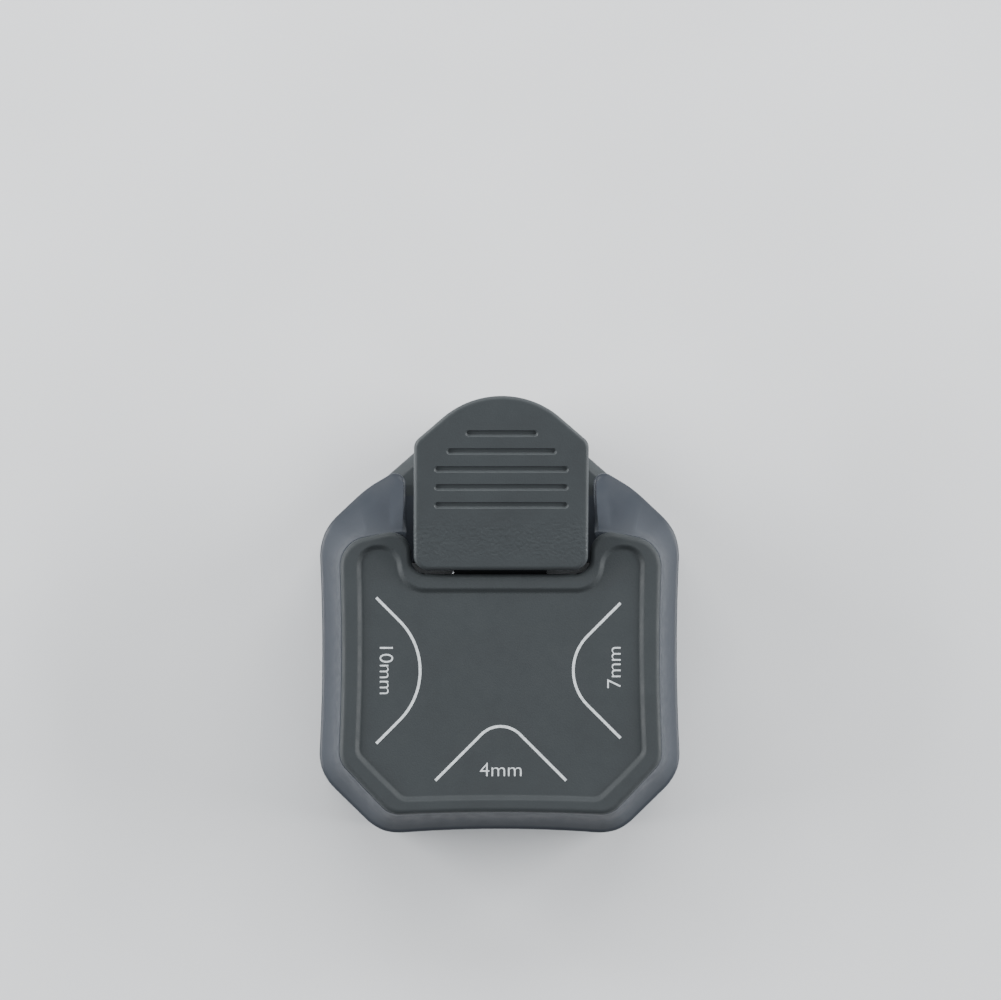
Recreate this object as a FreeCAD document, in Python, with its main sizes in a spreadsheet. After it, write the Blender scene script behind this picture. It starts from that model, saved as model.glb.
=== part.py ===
"""Three-in-one corner rounder: a press punch that rounds paper corners to 10, 7 or 4 mm.

Paper slides into a slot on the left (10 mm), on the right (7 mm) or at the front (4 mm).
Pressing the thumb pad at the rear turns the lever about a pin near the front, and the lever
pushes the carrier with its three punches straight down through the die plate. Two coil springs
lift it again. The clippings fall into the base and leave by a hinged door underneath.

Frame, in millimetres: +X to the right, +Y to the rear (the thumb pad), +Z up. The origin is on
the base's underside, on the centre plane, level with the tips of the two side slots.
"""
import FreeCAD
import Part
import math
import os
import re

import Sketcher

DIMENSIONS = [
    # outer shape
    ("body_width", 54.0, "width over the widest part of the housing"),
    ("side_waist", 0.5, "how far each side curves in between its ends"),
    ("front_reach", 24.5, "front corners ahead of the origin"),
    ("front_waist", 0.5, "how far the front edge curves in"),
    ("front_half", 17.5, "half width of the front edge"),
    ("cheek_reach", 14.5, "where the front chamfer meets the side, ahead of the origin"),
    ("shoulder_start", 20.6, "where the side meets the rear slope"),
    ("shoulder_half", 17.5, "half width over the shoulder tips"),
    ("shoulder_reach", 29.6, "shoulder tips behind the origin"),
    ("corner_round", 5.0, "radius of the upright corners"),
    ("shoulder_round", 8.0, "radius where the side turns into the rear slope"),
    ("tip_round", 3.2, "radius of the shoulder tips"),
    # base
    ("base_height", 9.0, "height of the table that the paper lies on"),
    ("base_inset", 0.6, "base set in from the housing above it"),
    ("floor_thick", 1.8, "thickness of the base's floor"),
    ("wall_thick", 2.2, "thickness of the base's walls"),
    ("deck_thick", 2.6, "thickness of the base's table"),
    ("lobe_half", 11.5, "half width of the rear lobe's end"),
    ("lobe_start", 33.5, "where the lobe's round end starts"),
    ("lobe_reach", 38.0, "rear end of the base"),
    ("base_edge", 0.8, "chamfer round the base's underside"),
    # upper housing and cover
    ("slot_gap", 1.3, "height of the paper slot"),
    ("housing_height", 9.9, "height of the upper housing"),
    ("band_height", 7.2, "height of the sloping band"),
    ("band_inset", 2.75, "how far the band leans in"),
    ("cover_thick", 1.8, "thickness of the cover at its rim"),
    ("cover_gap", 0.15, "cover set in from the top of the band"),
    ("panel_depth", 0.5, "how far the middle panel is sunk"),
    ("rim_width", 3.0, "width of the raised rim round the panel"),
    ("ear_reach", 20.6, "rear ends of the cover's ears"),
    ("notch_half", 14.0, "half width of the notch for the thumb pad"),
    ("notch_space", 3.35, "front edge of the notch behind the guide pins"),
    ("pad_gap", 0.6, "gap between the thumb pad and the cover"),
    ("shoulder_drop", 6.2, "fall of the rear slope from the cover to the shoulder tips"),
    ("cavity_wall", 2.4, "wall between the cavity and the top of the band"),
    ("cavity_corner", 2.2, "cavity's corners cut in from those of the housing"),
    ("notch_wall", 1.4, "wall between the cavity and the notch"),
    ("ear_wall", 1.8, "wall behind the cavity"),
    ("boss_drop", 2.2, "tops of the screw bosses below the cover"),
    ("pilot_cap", 0.7, "screw bosses' solid ends"),
    ("panel_corner", 1.4, "panel's chamfers set further in than its sides"),
    # cutting set
    ("side_tip", 7.7, "tip of an uncut corner in a side slot, from the centre plane"),
    ("front_tip", 6.6, "tip of an uncut corner in the front slot, ahead of the origin"),
    ("large_radius", 10.0, "corner radius cut on the left"),
    ("medium_radius", 7.0, "corner radius cut on the right"),
    ("small_radius", 4.0, "corner radius cut at the front"),
    ("punch_flank", 1.2, "straight cutting edge beyond each end of the arc"),
    ("punch_back", 1.2, "punch behind the tip of the uncut corner"),
    ("cut_gap", 0.1, "clearance between punch and die"),
    ("die_thick", 1.5, "thickness of the die plate"),
    ("stripper_thick", 1.2, "thickness of the stripper plate"),
    ("die_half", 18.5, "half width of the die plate"),
    ("die_front", 13.5, "front edge of the die plate"),
    ("die_rear", 16.0, "rear edge of the die plate"),
    ("die_corner", 4.0, "chamfer of the die plate's front corners"),
    ("ledge", 1.5, "ledge that the die plate rests on"),
    ("fit_gap", 0.1, "clearance round plates in their seats"),
    ("stop_gap", 0.3, "paper stops kept clear of the punches"),
    ("stop_inset", 2.0, "paper stops set in from the housing's outline"),
    ("stop_end", 3.2, "outer ends of the front stops set in from the sides"),
    ("tip_lift", 0.2, "punch tips above the slot's ceiling at rest"),
    # carrier, guides and springs
    ("carrier_lift", 0.25, "space under the carrier at the end of its stroke"),
    ("carrier_thick", 2.3, "thickness of the carrier's plate"),
    ("carrier_half", 16.0, "half width of the carrier"),
    ("carrier_front", 11.8, "front edge of the carrier"),
    ("carrier_corner", 4.0, "length of the carrier's front corners"),
    ("bay_gap", 1.0, "open bay at the carrier's rear wider than the strap on each side"),
    ("bay_depth", 5.0, "depth of that bay"),
    ("root", 0.4, "how far joined shapes reach into each other"),
    ("ridge_half", 2.4, "half width of the ridge that the lever presses on"),
    ("ridge_rise", 1.1, "height of the ridge's rounded top"),
    ("contact_gap", 0.15, "space between the ridge and the lever"),
    ("guide_half", 12.5, "guide pins from the centre plane"),
    ("pin_drop", 0.6, "tops of the guide pins below the cover"),
    ("guide_gap", 2.73, "guide pins behind the end of the largest punch"),
    ("guide_diameter", 3.0, "diameter of the guide pins"),
    ("running_gap", 0.06, "radial clearance of running fits"),
    ("hub_diameter", 7.2, "diameter of the carrier's guide hubs"),
    ("hub_height", 5.1, "height of the guide hubs"),
    ("spring_diameter", 5.2, "outer diameter of the return springs"),
    ("spring_wire", 0.5, "wire diameter of the return springs"),
    ("spring_turns", 4.5, "turns of the return springs"),
    ("spring_pocket", 3.2, "depth of the spring pocket in the hub"),
    # lever and thumb pad
    ("pivot_reach", 16.0, "lever pivot ahead of the origin"),
    ("pivot_drop", 3.0, "lever pivot below the top of the housing"),
    ("pivot_diameter", 3.0, "diameter of the pivot pin"),
    ("eye_diameter", 4.6, "outer diameter of the lever's eye"),
    ("rest_angle", 4.0, "lever's slope at rest, in degrees"),
    ("press_angle", 9.5, "lever's turn when pressed, in degrees"),
    ("strap_thick", 1.2, "thickness of the lever's steel strap"),
    ("bend_gap", 0.25, "bend of the strap behind the pad's front edge"),
    ("pad_slope", 16.0, "slope of the thumb pad at rest, in degrees"),
    ("strap_tail", 21.5, "length of the strap behind its bend"),
    ("lug_thick", 2.6, "thickness of the pivot lugs"),
    ("lug_gap", 0.3, "space between the strap and each lug"),
    ("pad_half", 12.95, "half width of the thumb pad"),
    ("strap_margin", 6.05, "thumb pad wider than the strap on each side"),
    ("pad_side", 19.0, "length of the pad's straight sides"),
    ("pad_length", 26.87, "length of the thumb pad"),
    ("pad_rise", 3.2, "pad's front edge above the top of the housing"),
    ("pad_height", 4.4, "height of the pad's skirt"),
    ("pad_shell", 1.6, "wall of the thumb pad"),
    ("pad_corner", 2.2, "radius of the pad's front corners"),
    ("pad_edge_radius", 0.7, "radius of the edge round the pad's top"),
    ("groove_width", 1.0, "width of the grip grooves"),
    ("groove_depth", 0.5, "depth of the grip grooves"),
    ("groove_pitch", 2.77, "distance between grip grooves"),
    ("groove_first", 10.0, "first grip groove behind the pad's front edge"),
    ("groove_half", 10.0, "half length of the long grooves"),
    # scrap door and fasteners
    ("door_front", 4.0, "door hinge behind the origin"),
    ("door_half", 13.5, "half width of the door"),
    ("door_rear", 26.5, "rear edge of the door opening"),
    ("door_thick", 1.4, "thickness of the door"),
    ("door_sink", 0.35, "door above the surface the punch stands on"),
    ("door_gap", 0.25, "gap round the door"),
    ("grip_reach", 2.5, "finger notch behind the door"),
    ("hinge_height", 1.5, "height of the door's hinge pin"),
    ("hinge_diameter", 1.5, "diameter of the door's hinge pin"),
    ("barrel_diameter", 2.7, "diameter of the door's hinge barrel"),
    ("screw_side", 17.0, "front housing screws from the centre plane"),
    ("screw_rear_side", 18.0, "rear housing screws from the centre plane"),
    ("screw_rear", 18.0, "rear housing screws behind the origin"),
    ("screw_diameter", 2.0, "diameter of the housing screws"),
    ("screw_head", 3.8, "head diameter of the housing screws"),
    ("boss_diameter", 5.6, "diameter of the screw bosses"),
    ("rivet_diameter", 1.8, "diameter of the rivets through the cutting set"),
    ("rivet_head", 3.0, "head diameter of the rivets"),
    ("rivet_side", 12.5, "front rivets from the centre plane"),
    ("rivet_rear_side", 6.0, "rear rivets from the centre plane"),
    ("rivet_rear", 13.4, "rear rivets behind the origin"),
    ("small_screw", 1.6, "diameter of the punch and pad screws"),
    ("small_head", 2.8, "head diameter of the punch and pad screws"),
    ("small_head_height", 0.8, "height of the heads of the punch and pad screws"),
    ("small_bite", 2.4, "depth of the screw holes in the punches"),
    # sizes that follow from others
    ("guide_back", "=large_radius / sqrt(2) + punch_flank + guide_gap",
     "guide pins behind the origin"),
    ("carrier_rear", "=guide_back + 2", "rear edge of the carrier"),
    ("notch_front", "=guide_back + notch_space", "front edge of the notch"),
    ("pad_front", "=notch_front + pad_gap", "front edge of the pad behind the origin"),
    ("bend_back", "=pad_front + bend_gap", "bend of the strap behind the origin"),
    ("strap_half", "=pad_half - strap_margin", "half width of the strap"),
]

doc = FreeCAD.newDocument("corner_rounder")
sheet = doc.addObject("Spreadsheet::Sheet", "dims")
for row, (alias, value, note) in enumerate(DIMENSIONS, start=1):
    sheet.set("A%d" % row, note)
    sheet.set("B%d" % row, str(value))
    sheet.setAlias("B%d" % row, alias)
doc.recompute()


SIZE_NAME = re.compile(r"\b(%s)\b" % "|".join(alias for alias, value, note in DIMENSIONS))


def d(text):
    """Turn size names into sheet references: 'body_width / 2' becomes 'dims.body_width / 2'."""
    return SIZE_NAME.sub(r"dims.\1", text)


def size(text):
    """The present value of an expression in size names."""
    return float(sheet.evalExpression(d(text)))


# ---------------------------------------------------------------- sketches and features

def new_body(label):
    body = doc.addObject("PartDesign::Body", label)
    body.Label = label
    body.Placement = FreeCAD.Placement()
    return body


def new_sketch(body, name, z="0", x="0", y="0", turn=0.0, plane="XY_Plane", tilt=0.0):
    """A sketch on one of the body's own planes; z is its distance along the plane's normal, turn
    its angle about that normal and tilt its angle about X."""
    sketch = body.newObject("Sketcher::SketchObject", name)
    base = [item for item in body.Origin.OriginFeatures if item.Role == plane][0]
    sketch.AttachmentSupport = [(base, "")]
    sketch.MapMode = "FlatFace"
    sketch.AttachmentOffset = FreeCAD.Placement(
        FreeCAD.Vector(size(x), size(y), size(z)),
        FreeCAD.Rotation(turn, 0, tilt))
    for axis, text in (("x", x), ("y", y), ("z", z)):
        if text != "0":
            sketch.setExpression("AttachmentOffset.Base." + axis, d(text))
    return sketch


def bind(sketch, constraint, text):
    """Add one constraint and tie its value to the sheet."""
    index = sketch.addConstraint(constraint)
    sketch.setExpression("Constraints[%d]" % index, d(text))


def outline(sketch, corners):
    """A closed outline. A corner is (x, y) or, where an arc leads to the next corner,
    (x, y, radius, side); side 1 puts the arc's centre on the left of the way, -1 on the right."""
    count = len(corners)
    points = [FreeCAD.Vector(size(corner[0]), size(corner[1]), 0) for corner in corners]
    up = FreeCAD.Vector(0, 0, 1)
    edges = []
    for index, corner in enumerate(corners):
        start, end = points[index], points[(index + 1) % count]
        if len(corner) == 2:
            edges.append((sketch.addGeometry(Part.LineSegment(start, end), False), 1, 2))
            continue
        radius, side = size(corner[2]), corner[3]
        chord = end - start
        left = FreeCAD.Vector(-chord.y, chord.x, 0) / chord.Length
        rise = math.sqrt(max(radius ** 2 - (chord.Length / 2) ** 2, 0))
        centre = (start + end) * 0.5 + left * (side * rise)
        first = math.atan2(start.y - centre.y, start.x - centre.x)
        last = math.atan2(end.y - centre.y, end.x - centre.x)
        if side < 0:
            first, last = last, first
        if last < first:
            last += 2 * math.pi
        arc = Part.ArcOfCircle(Part.Circle(centre, up, radius), first, last)
        ends = (1, 2) if side > 0 else (2, 1)
        edges.append((sketch.addGeometry(arc, False),) + ends)
    for index, corner in enumerate(corners):
        edge, first, last = edges[index]
        following, joined = edges[(index + 1) % count][:2]
        sketch.addConstraint(Sketcher.Constraint("Coincident", edge, last, following, joined))
        x, y = points[index].x, points[index].y
        bind(sketch, Sketcher.Constraint("DistanceX", -1, 1, edge, first, x), corner[0])
        bind(sketch, Sketcher.Constraint("DistanceY", -1, 1, edge, first, y), corner[1])
        if len(corner) > 2:
            value = size(corner[2])
            bind(sketch, Sketcher.Constraint("Radius", edge, value), corner[2])


def rectangle(sketch, left, right, low, high):
    outline(sketch, [(left, low), (right, low), (right, high), (left, high)])


def circle(sketch, x, y, diameter):
    centre = FreeCAD.Vector(size(x), size(y), 0)
    radius = size(diameter) / 2
    ring = sketch.addGeometry(Part.Circle(centre, FreeCAD.Vector(0, 0, 1), radius), False)
    bind(sketch, Sketcher.Constraint("DistanceX", -1, 1, ring, 3, centre.x), x)
    bind(sketch, Sketcher.Constraint("DistanceY", -1, 1, ring, 3, centre.y), y)
    bind(sketch, Sketcher.Constraint("Diameter", ring, 2 * radius), diameter)


def pad(body, sketch, length, both_ways=False):
    feature = body.newObject("PartDesign::Pad", sketch.Name + "_pad")
    feature.Profile = sketch
    feature.Midplane = both_ways
    feature.setExpression("Length", d(length))
    doc.recompute()
    return feature


def pocket(body, sketch, length, upward=False, both_ways=False):
    """Cut a prism of the given length below the sketch, or above it, and make sure it cuts."""
    before = body.Shape.Volume
    feature = body.newObject("PartDesign::Pocket", sketch.Name + "_cut")
    feature.Profile = sketch
    feature.Midplane = both_ways
    feature.Reversed = upward
    feature.setExpression("Length", d(length))
    doc.recompute()
    if not body.Shape.Volume < before - 1e-6:
        raise RuntimeError(feature.Name + " cuts nothing")
    return feature


def dress(body, kind, name, wanted, radius):
    """Round or bevel those of the body's edges that the test picks out."""
    doc.recompute()
    tip = body.Tip
    names = ["Edge%d" % (number + 1) for number, edge in enumerate(tip.Shape.Edges) if wanted(edge)]
    if not names:
        raise RuntimeError(name + " finds no edge")
    feature = body.newObject("PartDesign::" + kind, name)
    feature.Base = (tip, names)
    feature.setExpression("Radius" if kind == "Fillet" else "Size", d(radius))
    return feature


def upright_at(places):
    """A test for straight edges that stand with their top at any of the given (x, y) places, or
    at their mirror images."""
    spots = [(size(x), size(y)) for x, y in places]

    def wanted(edge):
        if edge.Curve.TypeId != "Part::GeomLine" or edge.BoundBox.ZLength < 0.5:
            return False
        top = max((vertex.Point for vertex in edge.Vertexes), key=lambda point: point.z)
        return any(abs(abs(top.x) - x) < 0.01 and abs(top.y - y) < 0.01 for x, y in spots)
    return wanted


def level_at(height):
    """A test for edges that lie flat at a height."""
    z = size(height)

    def wanted(edge):
        return abs(edge.BoundBox.ZMin - z) < 1e-3 and abs(edge.BoundBox.ZMax - z) < 1e-3
    return wanted


# ---------------------------------------------------------------- heights and shared outlines

LEDGE_Z = "(base_height - die_thick)"
SLOT_TOP = "(base_height + slot_gap)"
STRIPPER_TOP = "(base_height + slot_gap + stripper_thick)"
COVER_Z = "(base_height + slot_gap + housing_height)"
STROKE = "(pivot_reach * (tan(rest_angle * 1deg) + tan((press_angle - rest_angle) * 1deg)))"
PUNCH_Z = "(base_height + slot_gap + tip_lift)"
CARRIER_Z = "(base_height + slot_gap + stripper_thick + carrier_lift + %s)" % STROKE
PIVOT_Z = "(base_height + slot_gap + housing_height - pivot_drop)"
PAD_Z = "(base_height + slot_gap + housing_height + pad_rise)"
BOSS_HEIGHT = "(housing_height - stripper_thick - boss_drop)"
SIDE_RADIUS = "((cheek_reach + shoulder_start)^2 / 8 / side_waist + side_waist / 2)"
FRONT_RADIUS = "(front_half^2 / 2 / front_waist + front_waist / 2)"


def housing_outline(sketch):
    """The outline seen from above, without the notch. Returns the places of its corners."""
    half = "(body_width / 2)"
    outline(sketch, [
        ("-front_half", "-front_reach", FRONT_RADIUS, -1), ("front_half", "-front_reach"),
        (half, "-cheek_reach", SIDE_RADIUS, -1), (half, "shoulder_start"),
        ("shoulder_half", "shoulder_reach"), ("-shoulder_half", "shoulder_reach"),
        ("-" + half, "shoulder_start", SIDE_RADIUS, -1), ("-" + half, "-cheek_reach")])
    return ([("front_half", "-front_reach"), (half, "-cheek_reach")], [(half, "shoulder_start")],
            [("shoulder_half", "shoulder_reach")])


def round_corners(body, name, groups):
    """Round groups of upright corners, each with its own radius."""
    for number, (places, radius) in enumerate(groups, start=1):
        dress(body, "Fillet", "%s_round_%d" % (name, number), upright_at(places), radius)
        doc.recompute()


# The three stations: name, radius, tip of the uncut corner, and the turn that faces the paper.
STATIONS = [
    ("punch_10mm", "large_radius", "-side_tip", "0", -90.0),
    ("punch_7mm", "medium_radius", "side_tip", "0", 90.0),
    ("punch_4mm", "small_radius", "0", "-front_tip", 0.0),
]


def punch_profile(sketch, radius, grow="0"):
    """The punch seen from above, with the paper's uncut tip at the sketch's origin and the paper
    coming from -Y. Its cutting edge is the finished corner: a quarter round between 45-degree
    flanks. grow widens the outline all round, for the holes that the punch passes through."""
    arc_half = "((%s - %s) / sqrt(2))" % (radius, grow)
    arc_y = "(-%s * sqrt(2) + (%s - %s) / sqrt(2))" % (radius, radius, grow)
    half = "(%s / sqrt(2) + punch_flank + %s)" % (radius, grow)
    low = "(%s - (%s - %s))" % (arc_y, half, arc_half)
    back = "(punch_back + %s)" % grow
    outline(sketch, [
        ("-" + half, low), ("-" + arc_half, arc_y, "(%s - %s)" % (radius, grow), -1),
        (arc_half, arc_y), (half, low), (half, back), ("-" + half, back)])


SCREWS = [("-screw_side", "-(screw_side - (side_tip - front_tip) / 2)"),
          ("screw_side", "-(screw_side - (side_tip - front_tip) / 2)"),
          ("-screw_rear_side", "screw_rear"), ("screw_rear_side", "screw_rear")]
RIVETS = [("-rivet_side", "-(rivet_side - (side_tip - front_tip) / 2)"),
          ("rivet_side", "-(rivet_side - (side_tip - front_tip) / 2)"),
          ("-rivet_rear_side", "rivet_rear"), ("rivet_rear_side", "rivet_rear")]
GUIDES = [("left", "-guide_half"), ("right", "guide_half")]


def holes(body, name, z, places, diameter, depth, upward=False):
    sketch = new_sketch(body, name, z=z)
    for x, y in places:
        circle(sketch, x, y, diameter)
    return pocket(body, sketch, depth, upward=upward)


def posts(body, name, z, places, diameter, height):
    sketch = new_sketch(body, name, z=z)
    for x, y in places:
        circle(sketch, x, y, diameter)
    return pad(body, sketch, height)


# ---------------------------------------------------------------- base

def make_lower_housing():
    body = new_body("lower_housing")
    sketch = new_sketch(body, "base_outline")
    half, cheek = "(body_width / 2 - base_inset)", "(-cheek_reach)"
    front = "(-front_reach + base_inset)"
    lobe_rise = "(lobe_reach - lobe_start)"
    lobe_radius = "((lobe_half^2 + %s^2) / 2 / %s)" % (lobe_rise, lobe_rise)
    outline(sketch, [
        ("-front_half", front, FRONT_RADIUS, -1), ("front_half", front),
        (half, cheek, SIDE_RADIUS, -1), (half, "shoulder_start"),
        ("lobe_half", "lobe_start", lobe_radius, 1), ("-lobe_half", "lobe_start"),
        ("-" + half, "shoulder_start", SIDE_RADIUS, -1), ("-" + half, cheek)])
    pad(body, sketch, "base_height")
    round_corners(body, "base", [
        ([("front_half", front), (half, cheek)], "corner_round"),
        ([(half, "shoulder_start")], "shoulder_round")])
    dress(body, "Chamfer", "base_bevel", level_at("0"), "base_edge")
    chamber = new_sketch(body, "chamber", z="floor_thick")
    inner, reach = "(%s - wall_thick)" % half, "(screw_side + boss_diameter / 2 - 2 * wall_thick)"
    outline(chamber, [
        ("-" + reach, "(%s + wall_thick)" % front), (reach, "(%s + wall_thick)" % front),
        (inner, "(-cheek_reach + wall_thick)"), (inner, "(shoulder_start - wall_thick)"),
        ("lobe_half", "(lobe_start - 2 * wall_thick)"), ("-lobe_half", "(lobe_start - 2 * wall_thick)"),
        ("-" + inner, "(shoulder_start - wall_thick)"), ("-" + inner, "(-cheek_reach + wall_thick)")])
    pocket(body, chamber, "(base_height - deck_thick - floor_thick)", upward=True)
    posts(body, "base_bosses", "(floor_thick / 2)", SCREWS, "boss_diameter",
          "(base_height - deck_thick / 2 - floor_thick / 2)")
    seat = new_sketch(body, "die_seat", z=LEDGE_Z)
    die_outline(seat, "fit_gap")
    pocket(body, seat, "die_thick", upward=True)
    well = new_sketch(body, "die_well", z="floor_thick")
    die_outline(well, "(-ledge)")
    pocket(body, well, "(base_height - floor_thick)", upward=True)
    opening = new_sketch(body, "door_opening")
    barrel = "(barrel_diameter / 2 + door_gap)"
    rectangle(opening, "-(door_half + door_gap)", "(door_half + door_gap)",
              "(door_front - %s)" % barrel, "door_rear")
    pocket(body, opening, "floor_thick", upward=True)
    lugs = new_sketch(body, "hinge_lugs")
    for side in ("-", ""):
        near, far = side + "(door_half + door_gap)", side + "(door_half + door_gap + lug_thick)"
        left, right = (far, near) if side else (near, far)
        rectangle(lugs, left, right, "(door_front - barrel_diameter)", "(door_front + barrel_diameter)")
    pad(body, lugs, "(hinge_height + barrel_diameter / 2 + door_gap)")
    bore = new_sketch(body, "hinge_bore", plane="YZ_Plane")
    circle(bore, "door_front", "hinge_height", "hinge_diameter")
    pocket(body, bore, "(2 * (door_half + door_gap + lug_thick) + 1)", both_ways=True)
    grip = new_sketch(body, "door_grip")
    rectangle(grip, "(-door_half / 3)", "(door_half / 3)", "(door_rear - root)", "(door_rear + grip_reach)")
    pocket(body, grip, "floor_thick", upward=True)
    holes(body, "screw_holes", "0", SCREWS, "(screw_diameter + 2 * fit_gap)", "base_height", upward=True)
    holes(body, "screw_seats", "0", SCREWS, "(screw_head + 2 * fit_gap)", "floor_thick", upward=True)
    return body


def die_outline(sketch, grow):
    half, front = "(die_half + %s)" % grow, "(-die_front - %s)" % grow
    outline(sketch, [
        ("(-die_half + die_corner)", front), ("(die_half - die_corner)", front),
        (half, "(-die_front + die_corner)"), (half, "(die_rear + %s)" % grow),
        ("-" + half, "(die_rear + %s)" % grow), ("-" + half, "(-die_front + die_corner)")])


def make_cutting_plate(label, z, thick):
    """The die plate or the stripper plate: three shaped holes, four rivets, two guide pins."""
    body = new_body(label)
    sketch = new_sketch(body, label + "_outline", z=z)
    die_outline(sketch, "0")
    pad(body, sketch, thick)
    for name, radius, tip_x, tip_y, turn in STATIONS:
        hole = new_sketch(body, label + "_" + name, z=z, x=tip_x, y=tip_y, turn=turn)
        punch_profile(hole, radius, "cut_gap")
        pocket(body, hole, thick, upward=True)
    holes(body, label + "_rivet_holes", z, RIVETS, "rivet_diameter", thick, upward=True)
    pins = [(x, "guide_back") for side, x in GUIDES]
    holes(body, label + "_pin_holes", z, pins, "guide_diameter", thick, upward=True)
    return body


PUNCH_SIDE = "(large_radius / sqrt(2) + punch_flank + stop_gap)"


def make_front_stop(label, side):
    """The strip between a side slot and the front slot: two of its edges run at 45 degrees and
    stop the paper, and it keeps clear of the punches."""
    body = new_body(label)
    sketch = new_sketch(body, label + "_outline", z="base_height")
    far_x, far_y = "(body_width / 2 - stop_end)", "(-front_reach + stop_inset)"
    near_x = "(small_radius / sqrt(2) + punch_flank + stop_gap)"
    corners = [
        ("(side_tip + %s)" % PUNCH_SIDE, "-" + PUNCH_SIDE), (far_x, "(side_tip - %s)" % far_x),
        ("(-front_tip - %s)" % far_y, far_y), (near_x, "(-front_tip - %s)" % near_x),
        (near_x, "-" + PUNCH_SIDE)]
    if side < 0:
        corners = [("-" + x, y) for x, y in reversed(corners)]
    outline(sketch, corners)
    pad(body, sketch, "slot_gap")
    number = 0 if side < 0 else 1
    holes(body, label + "_screw_hole", "base_height", SCREWS[number:number + 1],
          "(screw_diameter + 2 * fit_gap)", "slot_gap", upward=True)
    holes(body, label + "_rivet_hole", "base_height", RIVETS[number:number + 1],
          "rivet_diameter", "slot_gap", upward=True)
    return body


def make_rear_stop():
    body = new_body("rear_stop")
    sketch = new_sketch(body, "rear_stop_outline", z="base_height")
    near, far = "(side_tip + %s)" % PUNCH_SIDE, "(body_width / 2 - stop_inset)"
    rear = "(shoulder_reach - stop_inset)"
    outline(sketch, [
        (near, PUNCH_SIDE), (far, "(%s - side_tip)" % far), ("(shoulder_half - stop_inset * 0.4)", rear),
        ("(-shoulder_half + stop_inset * 0.4)", rear), ("-" + far, "(%s - side_tip)" % far),
        ("-" + near, PUNCH_SIDE)])
    pad(body, sketch, "slot_gap")
    holes(body, "rear_stop_screw_holes", "base_height", SCREWS[2:], "(screw_diameter + 2 * fit_gap)",
          "slot_gap", upward=True)
    holes(body, "rear_stop_rivet_holes", "base_height", RIVETS[2:], "rivet_diameter", "slot_gap",
          upward=True)
    pins = [(x, "guide_back") for side, x in GUIDES]
    holes(body, "rear_stop_pin_holes", "base_height", pins, "guide_diameter", "slot_gap", upward=True)
    return body


# ---------------------------------------------------------------- upper housing and cover

def make_upper_housing():
    body = new_body("upper_housing")
    sketch = new_sketch(body, "housing_outline", z=SLOT_TOP)
    front, shoulder, tips = housing_outline(sketch)
    pad(body, sketch, "housing_height")
    round_corners(body, "housing", [
        (front, "corner_round"), (shoulder, "shoulder_round"), (tips, "tip_round")])
    band = dress(body, "Chamfer", "housing_band", level_at(COVER_Z), "band_inset")
    band.ChamferType = "Two distances"
    band.FlipDirection = True
    band.setExpression("Size2", d("band_height"))
    doc.recompute()
    rear = new_sketch(body, "rear_slope", plane="YZ_Plane")
    outline(rear, [
        ("ear_reach", COVER_Z),
        ("(2 * shoulder_reach - ear_reach)", "(%s - 2 * shoulder_drop)" % COVER_Z),
        ("(2 * shoulder_reach - ear_reach)", "(%s + 1)" % COVER_Z),
        ("ear_reach", "(%s + 1)" % COVER_Z)])
    pocket(body, rear, "(body_width + 2)", both_ways=True)
    cavity = new_sketch(body, "housing_cavity", z=STRIPPER_TOP)
    inner, wall = "(body_width / 2 - band_inset - cavity_wall)", "(notch_half + notch_wall)"
    front_in, front_half = "(-front_reach + band_inset + cavity_wall)", "(front_half - cavity_corner)"
    cheek, ear = "(-cheek_reach + cavity_corner)", "(ear_reach - ear_wall)"
    notch_in = "(notch_front + notch_wall)"
    outline(cavity, [
        ("-" + front_half, front_in), (front_half, front_in), (inner, cheek), (inner, ear),
        (wall, ear), (wall, notch_in), ("-" + wall, notch_in), ("-" + wall, ear),
        ("-" + inner, ear), ("-" + inner, cheek)])
    pocket(body, cavity, "(%s - %s)" % (COVER_Z, STRIPPER_TOP), upward=True)
    notch = new_sketch(body, "housing_notch", z=STRIPPER_TOP)
    rectangle(notch, "-notch_half", "notch_half", "(notch_front - pad_gap)", "(shoulder_reach + 1)")
    pocket(body, notch, "(housing_height + 1)", upward=True)
    seat = new_sketch(body, "stripper_seat", z=SLOT_TOP)
    die_outline(seat, "fit_gap")
    pocket(body, seat, "stripper_thick", upward=True)
    posts(body, "housing_bosses", STRIPPER_TOP, SCREWS, "boss_diameter", BOSS_HEIGHT)
    lugs = new_sketch(body, "pivot_lugs", z="(%s - 0.2)" % STRIPPER_TOP)
    for side in ("-", ""):
        near, far = side + "(strap_half + lug_gap)", side + "(strap_half + lug_gap + lug_thick)"
        left, right = (far, near) if side else (near, far)
        rectangle(lugs, left, right, "(-pivot_reach - eye_diameter / 2)",
                  "(-pivot_reach + eye_diameter / 2)")
    pad(body, lugs, "(%s - %s)" % (COVER_Z, STRIPPER_TOP))
    bore = new_sketch(body, "pivot_bore", plane="YZ_Plane")
    circle(bore, "-pivot_reach", PIVOT_Z, "pivot_diameter")
    pocket(body, bore, "(2 * (strap_half + lug_gap + lug_thick) + 0.2)", both_ways=True)
    holes(body, "housing_pilots", SLOT_TOP, SCREWS, "screw_diameter",
          "(stripper_thick + %s - pilot_cap)" % BOSS_HEIGHT, upward=True)
    return body


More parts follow.
